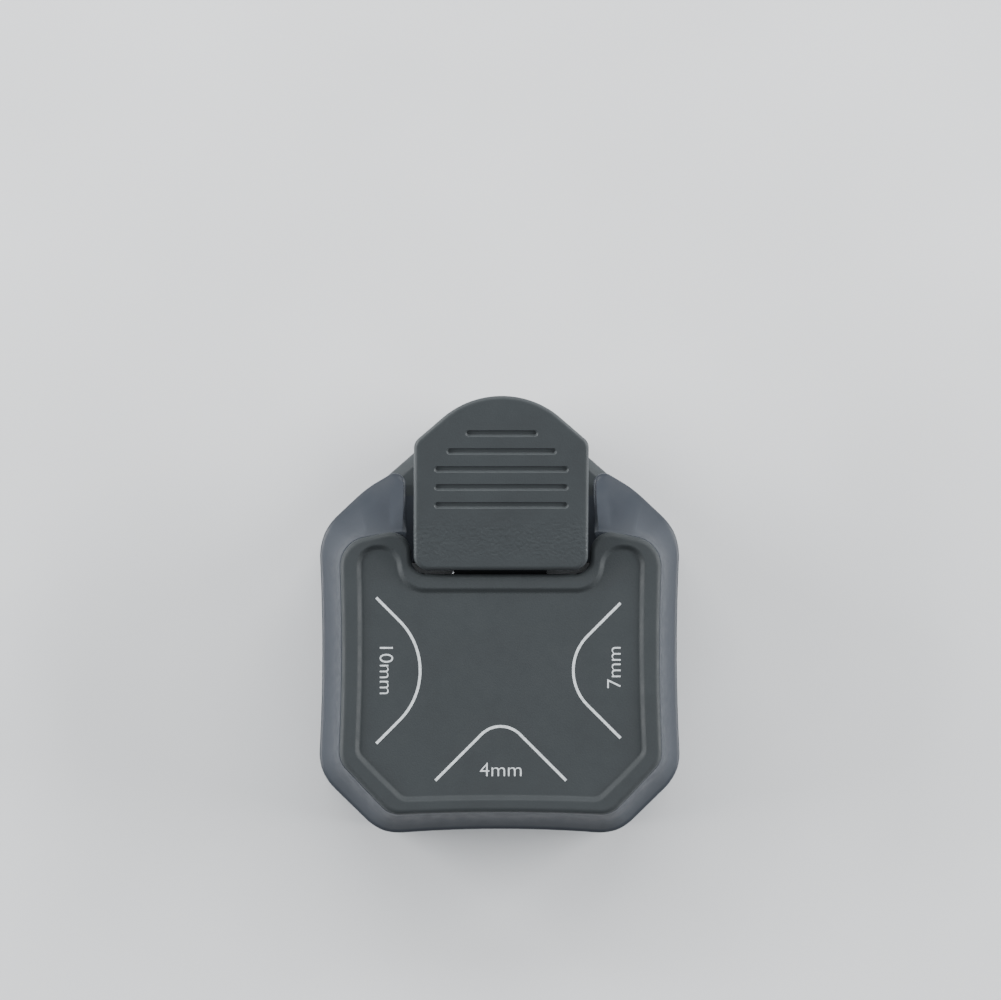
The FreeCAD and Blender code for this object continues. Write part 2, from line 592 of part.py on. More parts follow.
def make_top_cover():
    body = new_body("top_cover")
    sketch = new_sketch(body, "cover_outline", z=COVER_Z)
    inset = "(band_inset + cover_gap)"
    half, front = "(body_width / 2 - %s)" % inset, "(-front_reach + %s)" % inset
    front_half, cheek = "(front_half - %s * 0.4)" % inset, "(-cheek_reach + %s * 0.4)" % inset
    notch = "(notch_half - pad_gap)"
    outline(sketch, [
        ("-" + front_half, front, FRONT_RADIUS, -1), (front_half, front),
        (half, cheek, SIDE_RADIUS, -1), (half, "ear_reach"), (notch, "ear_reach"),
        (notch, "notch_front"), ("-" + notch, "notch_front"), ("-" + notch, "ear_reach"),
        ("-" + half, "ear_reach", SIDE_RADIUS, -1), ("-" + half, cheek)])
    pad(body, sketch, "cover_thick")
    round_corners(body, "cover", [
        ([(front_half, front), (half, cheek)], "(corner_round - 1)"),
        ([(half, "ear_reach")], "(corner_round + 0.4)"),
        ([(notch, "ear_reach")], "(tip_round - 0.4)"), ([(notch, "notch_front")], "pad_corner")])
    dress(body, "Fillet", "cover_edge", level_at("(%s + cover_thick)" % COVER_Z), "(cover_thick / 2.5)")
    panel = new_sketch(body, "cover_panel", z="(%s + cover_thick)" % COVER_Z)
    inner, low = "(%s - rim_width)" % half, "(%s + rim_width)" % front
    ear, rear = "(%s + rim_width * 0.8)" % notch, "(ear_reach - rim_width * 0.87)"
    middle, corner = "(notch_front - rim_width * 0.87)", "(%s + panel_corner)" % cheek
    panel_half = "(%s - panel_corner * 0.7)" % front_half
    outline(panel, [
        ("-" + panel_half, low), (panel_half, low), (inner, corner), (inner, rear), (ear, rear),
        (ear, middle), ("-" + ear, middle), ("-" + ear, rear), ("-" + inner, rear),
        ("-" + inner, corner)])
    pocket(body, panel, "panel_depth")
    return body


# ---------------------------------------------------------------- cutting set

def make_punch(label, radius, tip_x, tip_y, turn):
    """One steel punch, drawn facing -Y and then turned to its own slot."""
    body = new_body(label)
    sketch = new_sketch(body, label + "_profile", z=PUNCH_Z)
    punch_profile(sketch, radius)
    pad(body, sketch, "(%s - %s)" % (CARRIER_Z, PUNCH_Z))
    holes(body, label + "_screw_hole", CARRIER_Z, punch_screw_places(radius), "small_screw", "small_bite")
    body.Placement = FreeCAD.Placement(
        FreeCAD.Vector(size(tip_x), size(tip_y), 0),
        FreeCAD.Rotation(FreeCAD.Vector(0, 0, 1), turn))
    body.setExpression(".Placement.Base.x", d(tip_x))
    body.setExpression(".Placement.Base.y", d(tip_y))
    return body


def punch_screw_places(radius):
    """Two screws hold a side punch and one the small punch, in the punch's own directions."""
    if radius == "small_radius":
        return [("0", "(punch_back - small_head * 0.55)")]
    reach, back = "(%s / sqrt(2) - small_head * 0.4)" % radius, "(punch_back - small_head * 0.75)"
    return [("-" + reach, back), (reach, back)]


def make_carrier():
    body = new_body("punch_carrier")
    sketch = new_sketch(body, "carrier_outline", z=CARRIER_Z)
    nose, cheek = "(carrier_half / 2)", "(-carrier_front + carrier_corner)"
    bay, bay_front = "(strap_half + bay_gap)", "(carrier_rear - bay_depth)"
    outline(sketch, [
        ("-" + nose, "-carrier_front"), (nose, "-carrier_front"), ("carrier_half", cheek),
        ("carrier_half", "carrier_rear"), (bay, "carrier_rear"), (bay, bay_front),
        ("-" + bay, bay_front), ("-" + bay, "carrier_rear"), ("-carrier_half", "carrier_rear"),
        ("-carrier_half", cheek)])
    pad(body, sketch, "carrier_thick")
    ridge = new_sketch(body, "carrier_ridge", plane="YZ_Plane")
    crest = ("(%s + pivot_reach * tan(rest_angle * 1deg) - strap_thick / 2 / cos(rest_angle * 1deg)"
             " - contact_gap)" % PIVOT_Z)
    foot, top = "(%s + carrier_thick - root)" % CARRIER_Z, "(%s - ridge_rise)" % crest
    crown = "((ridge_half^2 + ridge_rise^2) / 2 / ridge_rise)"
    outline(ridge, [("-ridge_half", foot), ("ridge_half", foot), ("ridge_half", top, crown, 1),
                    ("-ridge_half", top)])
    pad(body, ridge, "(2 * strap_half)", both_ways=True)
    hubs = [(x, "guide_back") for side, x in GUIDES]
    posts(body, "guide_hubs", CARRIER_Z, hubs, "hub_diameter", "hub_height")
    holes(body, "guide_bores", CARRIER_Z, hubs, "(guide_diameter + 2 * running_gap)",
          "(hub_height + 1)", upward=True)
    holes(body, "spring_pockets", CARRIER_Z, hubs, "(spring_diameter + 0.6)", "spring_pocket",
          upward=True)
    for name, radius, tip_x, tip_y, turn in STATIONS:
        for kind, diameter, start, depth in (
                ("shank", "small_screw", CARRIER_Z, "carrier_thick"),
                ("head", "small_head", "(%s + carrier_thick - small_head_height)" % CARRIER_Z,
                 "small_head_height")):
            sketch = new_sketch(body, name + "_screw_" + kind, z=start, x=tip_x, y=tip_y, turn=turn)
            for x, y in punch_screw_places(radius):
                circle(sketch, x, y, diameter)
            pocket(body, sketch, depth, upward=True)
    return body


def stack(name, x, y, parts, tip=("0", "0"), turn=0.0):
    """A turned piece from stacked cylinders; each part is (diameter, low end, length)."""
    sine, cosine = round(math.sin(math.radians(turn))), round(math.cos(math.radians(turn)))
    pieces = []
    for number, (diameter, low, length) in enumerate(parts, start=1):
        piece = doc.addObject("Part::Cylinder", "%s_%d" % (name, number))
        piece.setExpression("Radius", d("(%s) / 2" % diameter))
        piece.setExpression("Height", d(length))
        for axis, text in (("x", "%s + %d * (%s) - %d * (%s)" % (tip[0], cosine, x, sine, y)),
                           ("y", "%s + %d * (%s) + %d * (%s)" % (tip[1], sine, x, cosine, y)),
                           ("z", low)):
            piece.setExpression(".Placement.Base." + axis, d(text))
        pieces.append(piece)
    if len(pieces) == 1:
        return pieces[0]
    fused = doc.addObject("Part::MultiFuse", name)
    fused.Shapes = pieces
    fused.Refine = True
    return fused


def group(label, members):
    """Identical fasteners share one node, as separate solids."""
    node = doc.addObject("Part::Compound", label)
    node.Links = members
    node.Label = label
    return node


def make_punch_screws():
    """Flush screws that hold the punches up against the carrier."""
    seat = "(%s + carrier_thick - small_head_height)" % CARRIER_Z
    parts = [("small_screw", "%s - small_bite + fit_gap" % CARRIER_Z,
              "carrier_thick + small_bite - 2 * fit_gap"),
             ("small_head", seat, "small_head_height - fit_gap")]
    members = []
    for name, radius, tip_x, tip_y, turn in STATIONS:
        for number, (x, y) in enumerate(punch_screw_places(radius), start=1):
            members.append(stack("%s_screw_%d" % (name, number), x, y, parts, (tip_x, tip_y), turn))
    return group("punch_screws", members)


def make_rivets():
    """Rivets that clamp die plate, stops and stripper plate into one cutting set."""
    parts = [("rivet_diameter", LEDGE_Z, "die_thick + slot_gap + stripper_thick"),
             ("rivet_head", STRIPPER_TOP, "rivet_head / 5")]
    return group("die_rivets", [stack("rivet_%d" % number, x, y, parts)
                                for number, (x, y) in enumerate(RIVETS, start=1)])


def make_housing_screws():
    """Screws from below that close the base and the upper housing over the cutting set."""
    sunk, tip = "(floor_thick / 4)", "(%s + %s - pilot_cap)" % (STRIPPER_TOP, BOSS_HEIGHT)
    parts = [("screw_head", sunk, "floor_thick - %s" % sunk),
             ("screw_diameter", "(2 * %s)" % sunk, "%s - 2 * %s" % (tip, sunk))]
    return group("housing_screws", [stack("housing_screw_%d" % number, x, y, parts)
                                    for number, (x, y) in enumerate(SCREWS, start=1)])


def make_guide_pin(side, x):
    pin = stack("guide_pin_" + side, x, "guide_back", [
        ("guide_diameter", LEDGE_Z, "die_thick + slot_gap + housing_height - pin_drop")])
    pin.Label = "guide_pin_" + side
    return pin


def make_return_spring(side, x):
    """A compression spring round a guide pin, from the stripper plate to the pocket in the hub."""
    body = new_body("return_spring_" + side)
    wire = new_sketch(body, "spring_wire_" + side, plane="XZ_Plane")
    circle(wire, "((spring_diameter - spring_wire) / 2)", "(spring_wire / 2)", "spring_wire")
    coil = body.newObject("PartDesign::AdditiveHelix", "spring_coil_" + side)
    coil.Profile = wire
    coil.ReferenceAxis = (wire, ["V_Axis"])
    coil.Mode = "height-turns-angle"
    travel = "%s - %s + spring_pocket - spring_wire - 0.05" % (CARRIER_Z, STRIPPER_TOP)
    coil.setExpression("Height", d(travel))
    coil.setExpression("Turns", d("spring_turns"))
    body.setExpression(".Placement.Base.x", d(x))
    body.setExpression(".Placement.Base.y", d("guide_back"))
    body.setExpression(".Placement.Base.z", d("%s + 0.02" % STRIPPER_TOP))
    return body


# ---------------------------------------------------------------- lever and thumb pad

PAD_SCREWS = [("0", "(groove_first + 0.5 * groove_pitch)"),
              ("0", "(groove_first + 3.5 * groove_pitch)")]

# In the pad's frame: the strap's top below the pad's top face, and where the strap's tail starts.
TAIL_DEPTH = ("((%s + (bend_back - pad_front) * tan(pad_slope * 1deg) - %s"
              " - (bend_back + pivot_reach) * tan(rest_angle * 1deg)) * cos(pad_slope * 1deg)"
              " - strap_thick / 2)" % (PAD_Z, PIVOT_Z))
TAIL_START = ("((bend_back - pad_front) * cos(pad_slope * 1deg) + (%s - %s"
              " + (bend_back + pivot_reach) * tan(rest_angle * 1deg)) * sin(pad_slope * 1deg))"
              % (PIVOT_Z, PAD_Z))


def make_lever_arm():
    """The steel strap: an eye round the pivot pin, a straight run over the carrier's ridge, and a
    tail bent up to carry the thumb pad. Drawn flat in its own frame, with the pivot at its
    origin and the straight run along +Y, then turned to its slope at rest."""
    body = new_body("lever_arm")
    run = "((bend_back + pivot_reach) / cos(rest_angle * 1deg))"
    bend = "((pad_slope - rest_angle) * 1deg)"
    half = "(strap_thick / 2)"
    side = new_sketch(body, "strap_side", plane="YZ_Plane")
    tail_y = "(%s + strap_tail * cos(%s))" % (run, bend)
    tail_z = "(strap_tail * sin(%s))" % bend
    bend_in = "(%s - %s * tan(%s / 2))" % (run, half, bend)
    bend_out = "(%s + %s * tan(%s / 2))" % (run, half, bend)
    start = "(eye_diameter / 2 - root)"
    outline(side, [
        (start, "-" + half), (bend_out, "-" + half),
        ("(%s + %s * sin(%s))" % (tail_y, half, bend), "(%s - %s * cos(%s))" % (tail_z, half, bend)),
        ("(%s - %s * sin(%s))" % (tail_y, half, bend), "(%s + %s * cos(%s))" % (tail_z, half, bend)),
        (bend_in, half), (start, half)])
    pad(body, side, "(2 * strap_half)", both_ways=True)
    eye = new_sketch(body, "lever_eye", plane="YZ_Plane")
    circle(eye, "0", "0", "eye_diameter")
    pad(body, eye, "(2 * strap_half)", both_ways=True)
    bore = new_sketch(body, "lever_bore", plane="YZ_Plane")
    circle(bore, "0", "0", "(pivot_diameter + 2 * running_gap)")
    pocket(body, bore, "(2 * strap_half + 1)", both_ways=True)
    screws = new_sketch(body, "strap_holes", y=run, tilt=size("pad_slope - rest_angle"))
    for x, y in PAD_SCREWS:
        circle(screws, x, "(%s - %s)" % (y, TAIL_START), "(small_screw + 2 * fit_gap)")
    pocket(body, screws, "(2 * strap_thick)", both_ways=True)
    body.Placement = FreeCAD.Placement(
        FreeCAD.Vector(0, -size("pivot_reach"), size(PIVOT_Z)),
        FreeCAD.Rotation(FreeCAD.Vector(1, 0, 0), size("rest_angle")))
    body.setExpression(".Placement.Base.y", d("-pivot_reach"))
    body.setExpression(".Placement.Base.z", d(PIVOT_Z))
    body.setExpression(".Placement.Rotation.Angle", d("rest_angle * 1deg"))
    return body


def place_on_pad(node):
    """Turn a piece drawn in the pad's frame (top face at z = 0, front edge at y = 0) to its slope."""
    node.Placement = FreeCAD.Placement(
        FreeCAD.Vector(0, size("pad_front"), size(PAD_Z)),
        FreeCAD.Rotation(FreeCAD.Vector(1, 0, 0), size("pad_slope")))
    node.setExpression(".Placement.Base.y", d("pad_front"))
    node.setExpression(".Placement.Base.z", d(PAD_Z))
    node.setExpression(".Placement.Rotation.Angle", d("pad_slope * 1deg"))


def plumb(feature):
    """Run a feature of the tilted pad straight down in the object's frame, so that its skirt
    stands upright when the pad is at rest."""
    slope = math.radians(size("pad_slope"))
    feature.UseCustomVector = True
    feature.Direction = FreeCAD.Vector(0, -math.sin(slope), -math.cos(slope))
    doc.recompute()
    return feature


def make_thumb_pad():
    """The moulded thumb pad, drawn with its top face at z = 0 and its front edge at y = 0."""
    body = new_body("thumb_pad")
    sketch = new_sketch(body, "pad_outline")
    rise = "(pad_length - pad_side)"
    end_radius = "((pad_half^2 + %s^2) / 2 / %s)" % (rise, rise)
    outline(sketch, [
        ("-pad_half", "0"), ("pad_half", "0"), ("pad_half", "pad_side", end_radius, 1),
        ("-pad_half", "pad_side")])
    plumb(pad(body, sketch, "pad_height"))
    round_corners(body, "pad", [([("pad_half", "0")], "pad_corner"),
                                ([("pad_half", "pad_side")], "(pad_corner / 2)")])
    hollow = new_sketch(body, "pad_hollow", z="-pad_shell")
    inner, side = "(pad_half - pad_shell)", "(pad_side - pad_shell / 3)"
    end = "(pad_length - 2.3 * pad_shell)"
    outline(hollow, [
        ("-" + inner, "pad_shell"), (inner, "pad_shell"), (inner, side), ("(pad_half / 3)", end),
        ("(-pad_half / 3)", end), ("-" + inner, side)])
    plumb(pocket(body, hollow, "pad_height"))
    mouth = new_sketch(body, "strap_mouth", z="(-%s + lug_gap)" % TAIL_DEPTH)
    rectangle(mouth, "(-strap_half - lug_gap)", "(strap_half + lug_gap)", "-pad_shell", "(3 * pad_shell)")
    plumb(pocket(body, mouth, "pad_height"))
    posts(body, "pad_bosses", "-" + TAIL_DEPTH, PAD_SCREWS, "(2 * small_head)",
          "(%s - pad_shell / 2)" % TAIL_DEPTH)
    holes(body, "pad_pilots", "-" + TAIL_DEPTH, PAD_SCREWS, "small_screw",
          "(%s - pad_shell * 0.6)" % TAIL_DEPTH, upward=True)
    dress(body, "Fillet", "pad_edge", level_at("0"), "pad_edge_radius")
    doc.recompute()
    grooves = new_sketch(body, "pad_grooves")
    for number in range(5):
        half = ("groove_half", "groove_half", "groove_half", "(groove_half * 0.82)",
                "(groove_half * 0.54)")[number]
        middle = "(groove_first + %d * groove_pitch)" % number
        low, high = "(%s - groove_width / 2)" % middle, "(%s + groove_width / 2)" % middle
        straight = "(%s - groove_width / 2)" % half
        outline(grooves, [
            ("-" + straight, low), (straight, low, "(groove_width * 0.51)", 1), (straight, high),
            ("-" + straight, high, "(groove_width * 0.51)", 1)])
    pocket(body, grooves, "groove_depth")
    place_on_pad(body)
    return body


def make_pad_screws():
    """Two screws from below through the strap into the pad's bosses."""
    low = "(-%s - strap_thick)" % TAIL_DEPTH
    parts = [("small_head", "%s - small_head_height" % low, "small_head_height"),
             ("small_screw", "%s - root" % low, "%s + strap_thick - pad_shell * 0.6 + fit_gap" % TAIL_DEPTH)]
    node = group("pad_screws", [stack("pad_screw_%d" % number, x, y, parts)
                                for number, (x, y) in enumerate(PAD_SCREWS, start=1)])
    place_on_pad(node)
    return node


def make_cross_pin(label, y, z, diameter, half_length):
    """A plain steel pin that lies along X."""
    pin = doc.addObject("Part::Cylinder", label)
    pin.Label = label
    pin.Placement = FreeCAD.Placement(
        FreeCAD.Vector(0, 0, 0), FreeCAD.Rotation(FreeCAD.Vector(0, 1, 0), 90))
    pin.setExpression("Radius", d("(%s) / 2" % diameter))
    pin.setExpression("Height", d("2 * %s" % half_length))
    pin.setExpression(".Placement.Base.x", d("-%s" % half_length))
    pin.setExpression(".Placement.Base.y", d(y))
    pin.setExpression(".Placement.Base.z", d(z))
    return pin


def make_scrap_door():
    body = new_body("scrap_door")
    sketch = new_sketch(body, "door_outline", z="door_sink")
    rectangle(sketch, "-door_half", "door_half", "door_front", "(door_rear - door_gap)")
    pad(body, sketch, "door_thick")
    barrel = new_sketch(body, "door_barrel", plane="YZ_Plane")
    circle(barrel, "door_front", "hinge_height", "barrel_diameter")
    pad(body, barrel, "(2 * door_half)", both_ways=True)
    bore = new_sketch(body, "door_bore", plane="YZ_Plane")
    circle(bore, "door_front", "hinge_height", "(hinge_diameter + 2 * running_gap)")
    pocket(body, bore, "(2 * door_half + 1)", both_ways=True)
    return body


def make_all():
    nodes = [make_lower_housing(), make_upper_housing(), make_top_cover()]
    nodes.append(make_cutting_plate("die_plate", LEDGE_Z, "die_thick"))
    nodes.append(make_cutting_plate("stripper_plate", SLOT_TOP, "stripper_thick"))
    nodes += [make_front_stop("front_left_stop", -1), make_front_stop("front_right_stop", 1)]
    nodes += [make_rear_stop(), make_rivets(), make_carrier(), make_punch_screws()]
    nodes += [make_punch(*station) for station in STATIONS]
    for side, x in GUIDES:
        nodes += [make_guide_pin(side, x), make_return_spring(side, x)]
    nodes += [make_lever_arm(), make_thumb_pad(), make_pad_screws()]
    nodes.append(make_cross_pin("pivot_pin", "-pivot_reach", PIVOT_Z, "pivot_diameter",
                                "(strap_half + lug_gap + lug_thick)"))
    nodes += [make_scrap_door(), make_housing_screws()]
    nodes.append(make_cross_pin("door_hinge_pin", "door_front", "hinge_height", "hinge_diameter",
                                "(door_half + door_gap + lug_thick)"))
    return nodes


def write_parts(nodes):
    """Check the whole document, then write one STEP file for each node."""
    doc.recompute()
    for item in doc.Objects:
        if "Invalid" in item.State or "Error" in item.State:
            raise RuntimeError("%s did not compute: %s" % (item.Name, item.State))
    for node in nodes:
        if node.Shape.isNull() or not node.Shape.isValid():
            raise RuntimeError(node.Label + " has no valid shape")
    os.makedirs("parts", exist_ok=True)
    for node in nodes:
        node.Shape.exportStep("parts/%s.step" % node.Label)
        box = node.Shape.optimalBoundingBox()
        print("%-20s %d solid(s) %8.1f mm3  x %6.2f %6.2f  y %6.2f %6.2f  z %6.2f %6.2f" % (
            node.Label, len(node.Shape.Solids), node.Shape.Volume,
            box.XMin, box.XMax, box.YMin, box.YMax, box.ZMin, box.ZMax))
    print("stroke %.3f mm" % size(STROKE))


write_parts(make_all())
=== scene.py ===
# %% [markdown]
# # A three-in-one corner rounder
# A small press punch for paper corners. Paper slides into a slot on the left, on the right or at
# the front, and a push on the thumb pad rounds its corner to 10, 7 or 4 mm.
# This lesson dresses a measured model: every piece takes its place from the model's own boxes,
# so nothing has to be fitted by eye. We work in millimetres and scale each mesh once, at the end.

# %% Load the measured model
import math

import bmesh
import bpy
from mathutils import Matrix, Vector
from mathutils.geometry import tessellate_polygon


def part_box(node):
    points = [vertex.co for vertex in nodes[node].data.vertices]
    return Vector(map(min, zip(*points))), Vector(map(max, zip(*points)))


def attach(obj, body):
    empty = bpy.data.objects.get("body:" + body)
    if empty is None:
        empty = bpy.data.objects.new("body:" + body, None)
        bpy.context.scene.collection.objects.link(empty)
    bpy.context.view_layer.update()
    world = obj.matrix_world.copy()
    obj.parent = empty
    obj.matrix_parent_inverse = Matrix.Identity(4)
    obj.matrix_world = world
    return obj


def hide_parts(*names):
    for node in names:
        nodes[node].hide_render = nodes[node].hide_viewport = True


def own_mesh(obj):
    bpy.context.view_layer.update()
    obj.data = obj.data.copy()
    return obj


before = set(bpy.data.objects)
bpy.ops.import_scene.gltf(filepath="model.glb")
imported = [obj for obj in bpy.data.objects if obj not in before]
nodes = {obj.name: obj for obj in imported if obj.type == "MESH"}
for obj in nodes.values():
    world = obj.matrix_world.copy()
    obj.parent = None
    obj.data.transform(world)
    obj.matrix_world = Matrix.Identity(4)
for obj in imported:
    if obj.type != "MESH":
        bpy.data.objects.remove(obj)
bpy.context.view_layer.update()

# %% Read sizes from the model
MM = 0.001                      # one millimetre, in Blender's metres


def span(node, axis):
    """Lowest and highest place of a measured piece along an axis (0, 1 or 2), in millimetres."""
    low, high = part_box(node)
    return low[axis] / MM, high[axis] / MM


TABLE_Z = span("lower_housing", 2)[1]          # the table that paper lies on
SLOT_Z = span("upper_housing", 2)[0]           # the ceiling of the paper slots
FLOOR_Z = span("stripper_plate", 2)[1]         # the floor inside the upper housing
COVER_Z, TOP_Z = span("top_cover", 2)
print("table %.1f, slot ceiling %.1f, cover %.1f to %.1f" % (TABLE_Z, SLOT_Z, COVER_Z, TOP_Z))

# %% [markdown]
# ## Camera
# The punch is looked at from straight above, so the camera hangs over it and points down. A long
# lens far away flattens the perspective, as in a catalogue picture, and the pad that rises to the
# rear doesn't look larger than the base under it. It hangs a little to the left, by a tilt of one
# degree, so the left flank shows slightly more than the right one.

# %% Hang the camera
AIM = Vector((0.0, 0.02536, 0.020))             # the middle of the picture, on the cover
DISTANCE = 3.0
CAMERA_TILT = math.radians(1.1)
FRAME_WIDTH = 0.1489            # what the picture is wide, at the height of the cover
SENSOR = 36.0

lens = bpy.data.cameras.new("catalogue_camera")
lens.sensor_width = SENSOR
lens.lens = SENSOR * DISTANCE / FRAME_WIDTH
lens.clip_start, lens.clip_end = 0.01, 20.0
camera = bpy.data.objects.new("catalogue_camera", lens)
camera.location = AIM + DISTANCE * Vector((-math.sin(CAMERA_TILT), 0.0, math.cos(CAMERA_TILT)))
camera.rotation_euler = (0.0, -CAMERA_TILT, 0.0)
bpy.context.scene.collection.objects.link(camera)
bpy.context.scene.camera = camera
print("lens %.0f mm" % lens.lens)

# %% [markdown]
# ## Light and floor
# The real punch shows bright flanks, dark ends and a quiet top. That is what large, soft lamps
# low on both sides and behind the object give, with only a little light from above. Area lamps
# are soft because of their size: the larger the lamp, the softer the shadow. Three long, thin
# lamps, in front and behind to the left and right, draw the narrow lines of light on the rims.

# %% Place a pale floor and soft lamps
MIDDLE = Vector((0.0, 0.005, 0.010))            # what the lamps point at


def lamp(name, place, width, height, power, tint=(1.0, 1.0, 1.0)):
    """A soft rectangular lamp that points at the object."""
    data = bpy.data.lights.new(name, "AREA")
    data.shape, data.size, data.size_y = "RECTANGLE", width, height
    data.energy, data.color = power, tint
    made = bpy.data.objects.new(name, data)
    made.location = place
    made.rotation_euler = (MIDDLE - Vector(place)).to_track_quat("-Z", "Y").to_euler()
    bpy.context.scene.collection.objects.link(made)
    return made


lamp("lamp_left", (-0.60, 0.10, 0.22), 0.55, 0.26, 8.5)
lamp("lamp_right", (0.60, 0.10, 0.22), 0.55, 0.26, 8.5)
lamp("lamp_rear", (0.0, 0.60, 0.50), 0.90, 0.20, 5.5)
lamp("lamp_front", (0.0, -0.60, 0.26), 0.70, 0.015, 0.14)
lamp("lamp_rear_left", (-0.45, 0.45, 0.26), 0.60, 0.02, 0.7)
lamp("lamp_rear_right", (0.45, 0.45, 0.26), 0.60, 0.02, 0.7)

world = bpy.data.worlds.new("studio")
bpy.context.scene.world = world
world.use_nodes = True
world.node_tree.nodes["Background"].inputs["Color"].default_value = (0.90, 0.94, 1.0, 1.0)
world.node_tree.nodes["Background"].inputs["Strength"].default_value = 0.30

bm = bmesh.new()
bmesh.ops.create_grid(bm, x_segments=1, y_segments=1, size=1.6)
floor_mesh = bpy.data.meshes.new("studio_floor")
bm.to_mesh(floor_mesh)
bm.free()
floor = bpy.data.objects.new("studio_floor", floor_mesh)
bpy.context.scene.collection.objects.link(floor)
print("lamps:", len(bpy.data.lights))

# %% [markdown]
# ## Finishes
# Moulded plastic is never one flat colour. The mould is eroded to a fine grain, the grain makes
# the gloss a little uneven, and the plastic has faint cloudy differences in shade. One function
# makes such a finish from noise at three sizes: grain for the bump, a middle size for the gloss
# and a large one for the shade. The noise reads Object coordinates, so it stays on the piece.

# %% Helpers for finishes
def linear(red, green, blue):
    """A colour picked on a screen, 0 to 255, as the linear values that shaders use."""
    def channel(value):
        value /= 255.0
        return value / 12.92 if value <= 0.04045 else ((value + 0.055) / 1.055) ** 2.4
    return channel(red), channel(green), channel(blue), 1.0


class Finish:
    """A material under construction: a few short methods instead of long node listings."""

    def __init__(self, name, metallic=0.0, **sockets):
        self.material = bpy.data.materials.new(name)
        self.material.use_nodes = True
        self.tree = self.material.node_tree
        self.shader = self.tree.nodes["Principled BSDF"]
        self.shader.inputs["Metallic"].default_value = metallic
        for socket, value in sockets.items():
            self.shader.inputs[socket.replace("_", " ")].default_value = value
        self.place = self.tree.nodes.new("ShaderNodeTexCoord").outputs["Object"]

    def link(self, source, target):
        self.tree.links.new(source, target)
        return source

    def noise(self, cell, detail=2.0, stretch=None):
        """Noise whose blobs are about cell millimetres across."""
        node = self.tree.nodes.new("ShaderNodeTexNoise")
        node.inputs["Scale"].default_value = 1.0 / (cell * MM)
        node.inputs["Detail"].default_value = detail
        source = self.place
        if stretch:
            mapping = self.tree.nodes.new("ShaderNodeMapping")
            mapping.inputs["Scale"].default_value = stretch
            self.link(self.place, mapping.inputs["Vector"])
            source = mapping.outputs["Vector"]
        self.link(source, node.inputs["Vector"])
        return node.outputs["Fac"]

    def ramp(self, value, low, high, start=0.35, end=0.65):
        """Turn a value into a number between low and high."""
        node = self.tree.nodes.new("ShaderNodeMapRange")
        node.inputs["From Min"].default_value, node.inputs["From Max"].default_value = start, end
        node.inputs["To Min"].default_value, node.inputs["To Max"].default_value = low, high
        self.link(value, node.inputs["Value"])
        return node.outputs["Result"]

    def math(self, operation, first, second):
        node = self.tree.nodes.new("ShaderNodeMath")
        node.operation = operation
        for socket, value in zip(node.inputs, (first, second)):
            if isinstance(value, (int, float)):
                socket.default_value = value
            else:
                self.link(value, socket)
        return node.outputs["Value"]

    def shade(self, dark, light, factor):
        """Drift between two colours."""
        node = self.tree.nodes.new("ShaderNodeMix")
        node.data_type = "RGBA"
        node.inputs["A"].default_value, node.inputs["B"].default_value = dark, light
        self.link(factor, node.inputs["Factor"])
        colour = [socket for socket in node.outputs if socket.type == "RGBA"][0]
        self.link(colour, self.shader.inputs["Base Color"])
        return colour

    def bump(self, height, depth, strength=1.0, under=None):
        """Raise the surface by height times depth millimetres."""
        node = self.tree.nodes.new("ShaderNodeBump")
        node.inputs["Distance"].default_value = depth * MM
        if isinstance(strength, (int, float)):
            node.inputs["Strength"].default_value = strength
        else:
            self.link(strength, node.inputs["Strength"])
        self.link(height, node.inputs["Height"])
        if under is not None:
            self.link(under, node.inputs["Normal"])
        self.link(node.outputs["Normal"], self.shader.inputs["Normal"])
        return node.outputs["Normal"]


def moulded(name, colour, rough, grain, depth, lift=1.12, gloss=0.25):
    """Moulded plastic: colour is its darker shade, lift how much lighter the lighter one is."""
    finish = Finish(name, Specular_IOR_Level=gloss)
    lighter = tuple(channel * lift for channel in colour[:3]) + (1.0,)
    cloud = finish.noise(9.0, 3.0)
    speck = finish.noise(grain, 2.0)
    both = finish.math("ADD", finish.math("MULTIPLY", cloud, 0.6), finish.math("MULTIPLY", speck, 0.4))
    finish.shade(colour, lighter, finish.ramp(both, 0.0, 1.0))
    finish.link(finish.ramp(finish.noise(1.6, 3.0), rough - 0.05, rough + 0.05),
                finish.shader.inputs["Roughness"])
    finish.bump(speck, depth)
    return finish


def steel(name, colour, rough, stretch=None, cell=0.35, depth=0.004):
    """Worked steel: fine marks along the direction that it was ground in."""
    finish = Finish(name, metallic=1.0)
    marks = finish.noise(cell, 3.0, stretch)
    lighter = tuple(min(1.0, channel * 1.18) for channel in colour[:3]) + (1.0,)
    finish.shade(colour, lighter, finish.ramp(marks, 0.0, 1.0, 0.3, 0.7))
    finish.link(finish.ramp(marks, rough - 0.08, rough + 0.08, 0.3, 0.7),
                finish.shader.inputs["Roughness"])
    finish.bump(marks, depth)
    return finish


# %% [markdown]
# ### The plastics
# The cover and the thumb pad are the same grey plastic, grainy and matt, but the pad's colour is painted
# lighter than the cover's: painted light, for the lamp light that the pad's forward-facing slope misses.
# The pad has a second, larger grain like leather in front of its grooves, which fades in and out along
# Y: a mask made from the Object coordinates sets how strong that bump is. The housing is a smoother,
# slightly blue grey whose gloss catches the lamps.

# %% Mix the plastics
cover_plastic = moulded("cover_plastic", linear(46, 50, 52), 0.62, 0.26, 0.020)
housing_plastic = moulded("housing_plastic", linear(50, 54, 60), 0.34, 0.16, 0.005, 1.06, 0.16)
base_plastic = moulded("base_plastic", linear(46, 50, 52), 0.50, 0.24, 0.014)
door_plastic = moulded("door_plastic", linear(42, 45, 47), 0.55, 0.24, 0.014)
carrier_plastic = moulded("carrier_plastic", linear(15, 15, 16), 0.50, 0.30, 0.006)
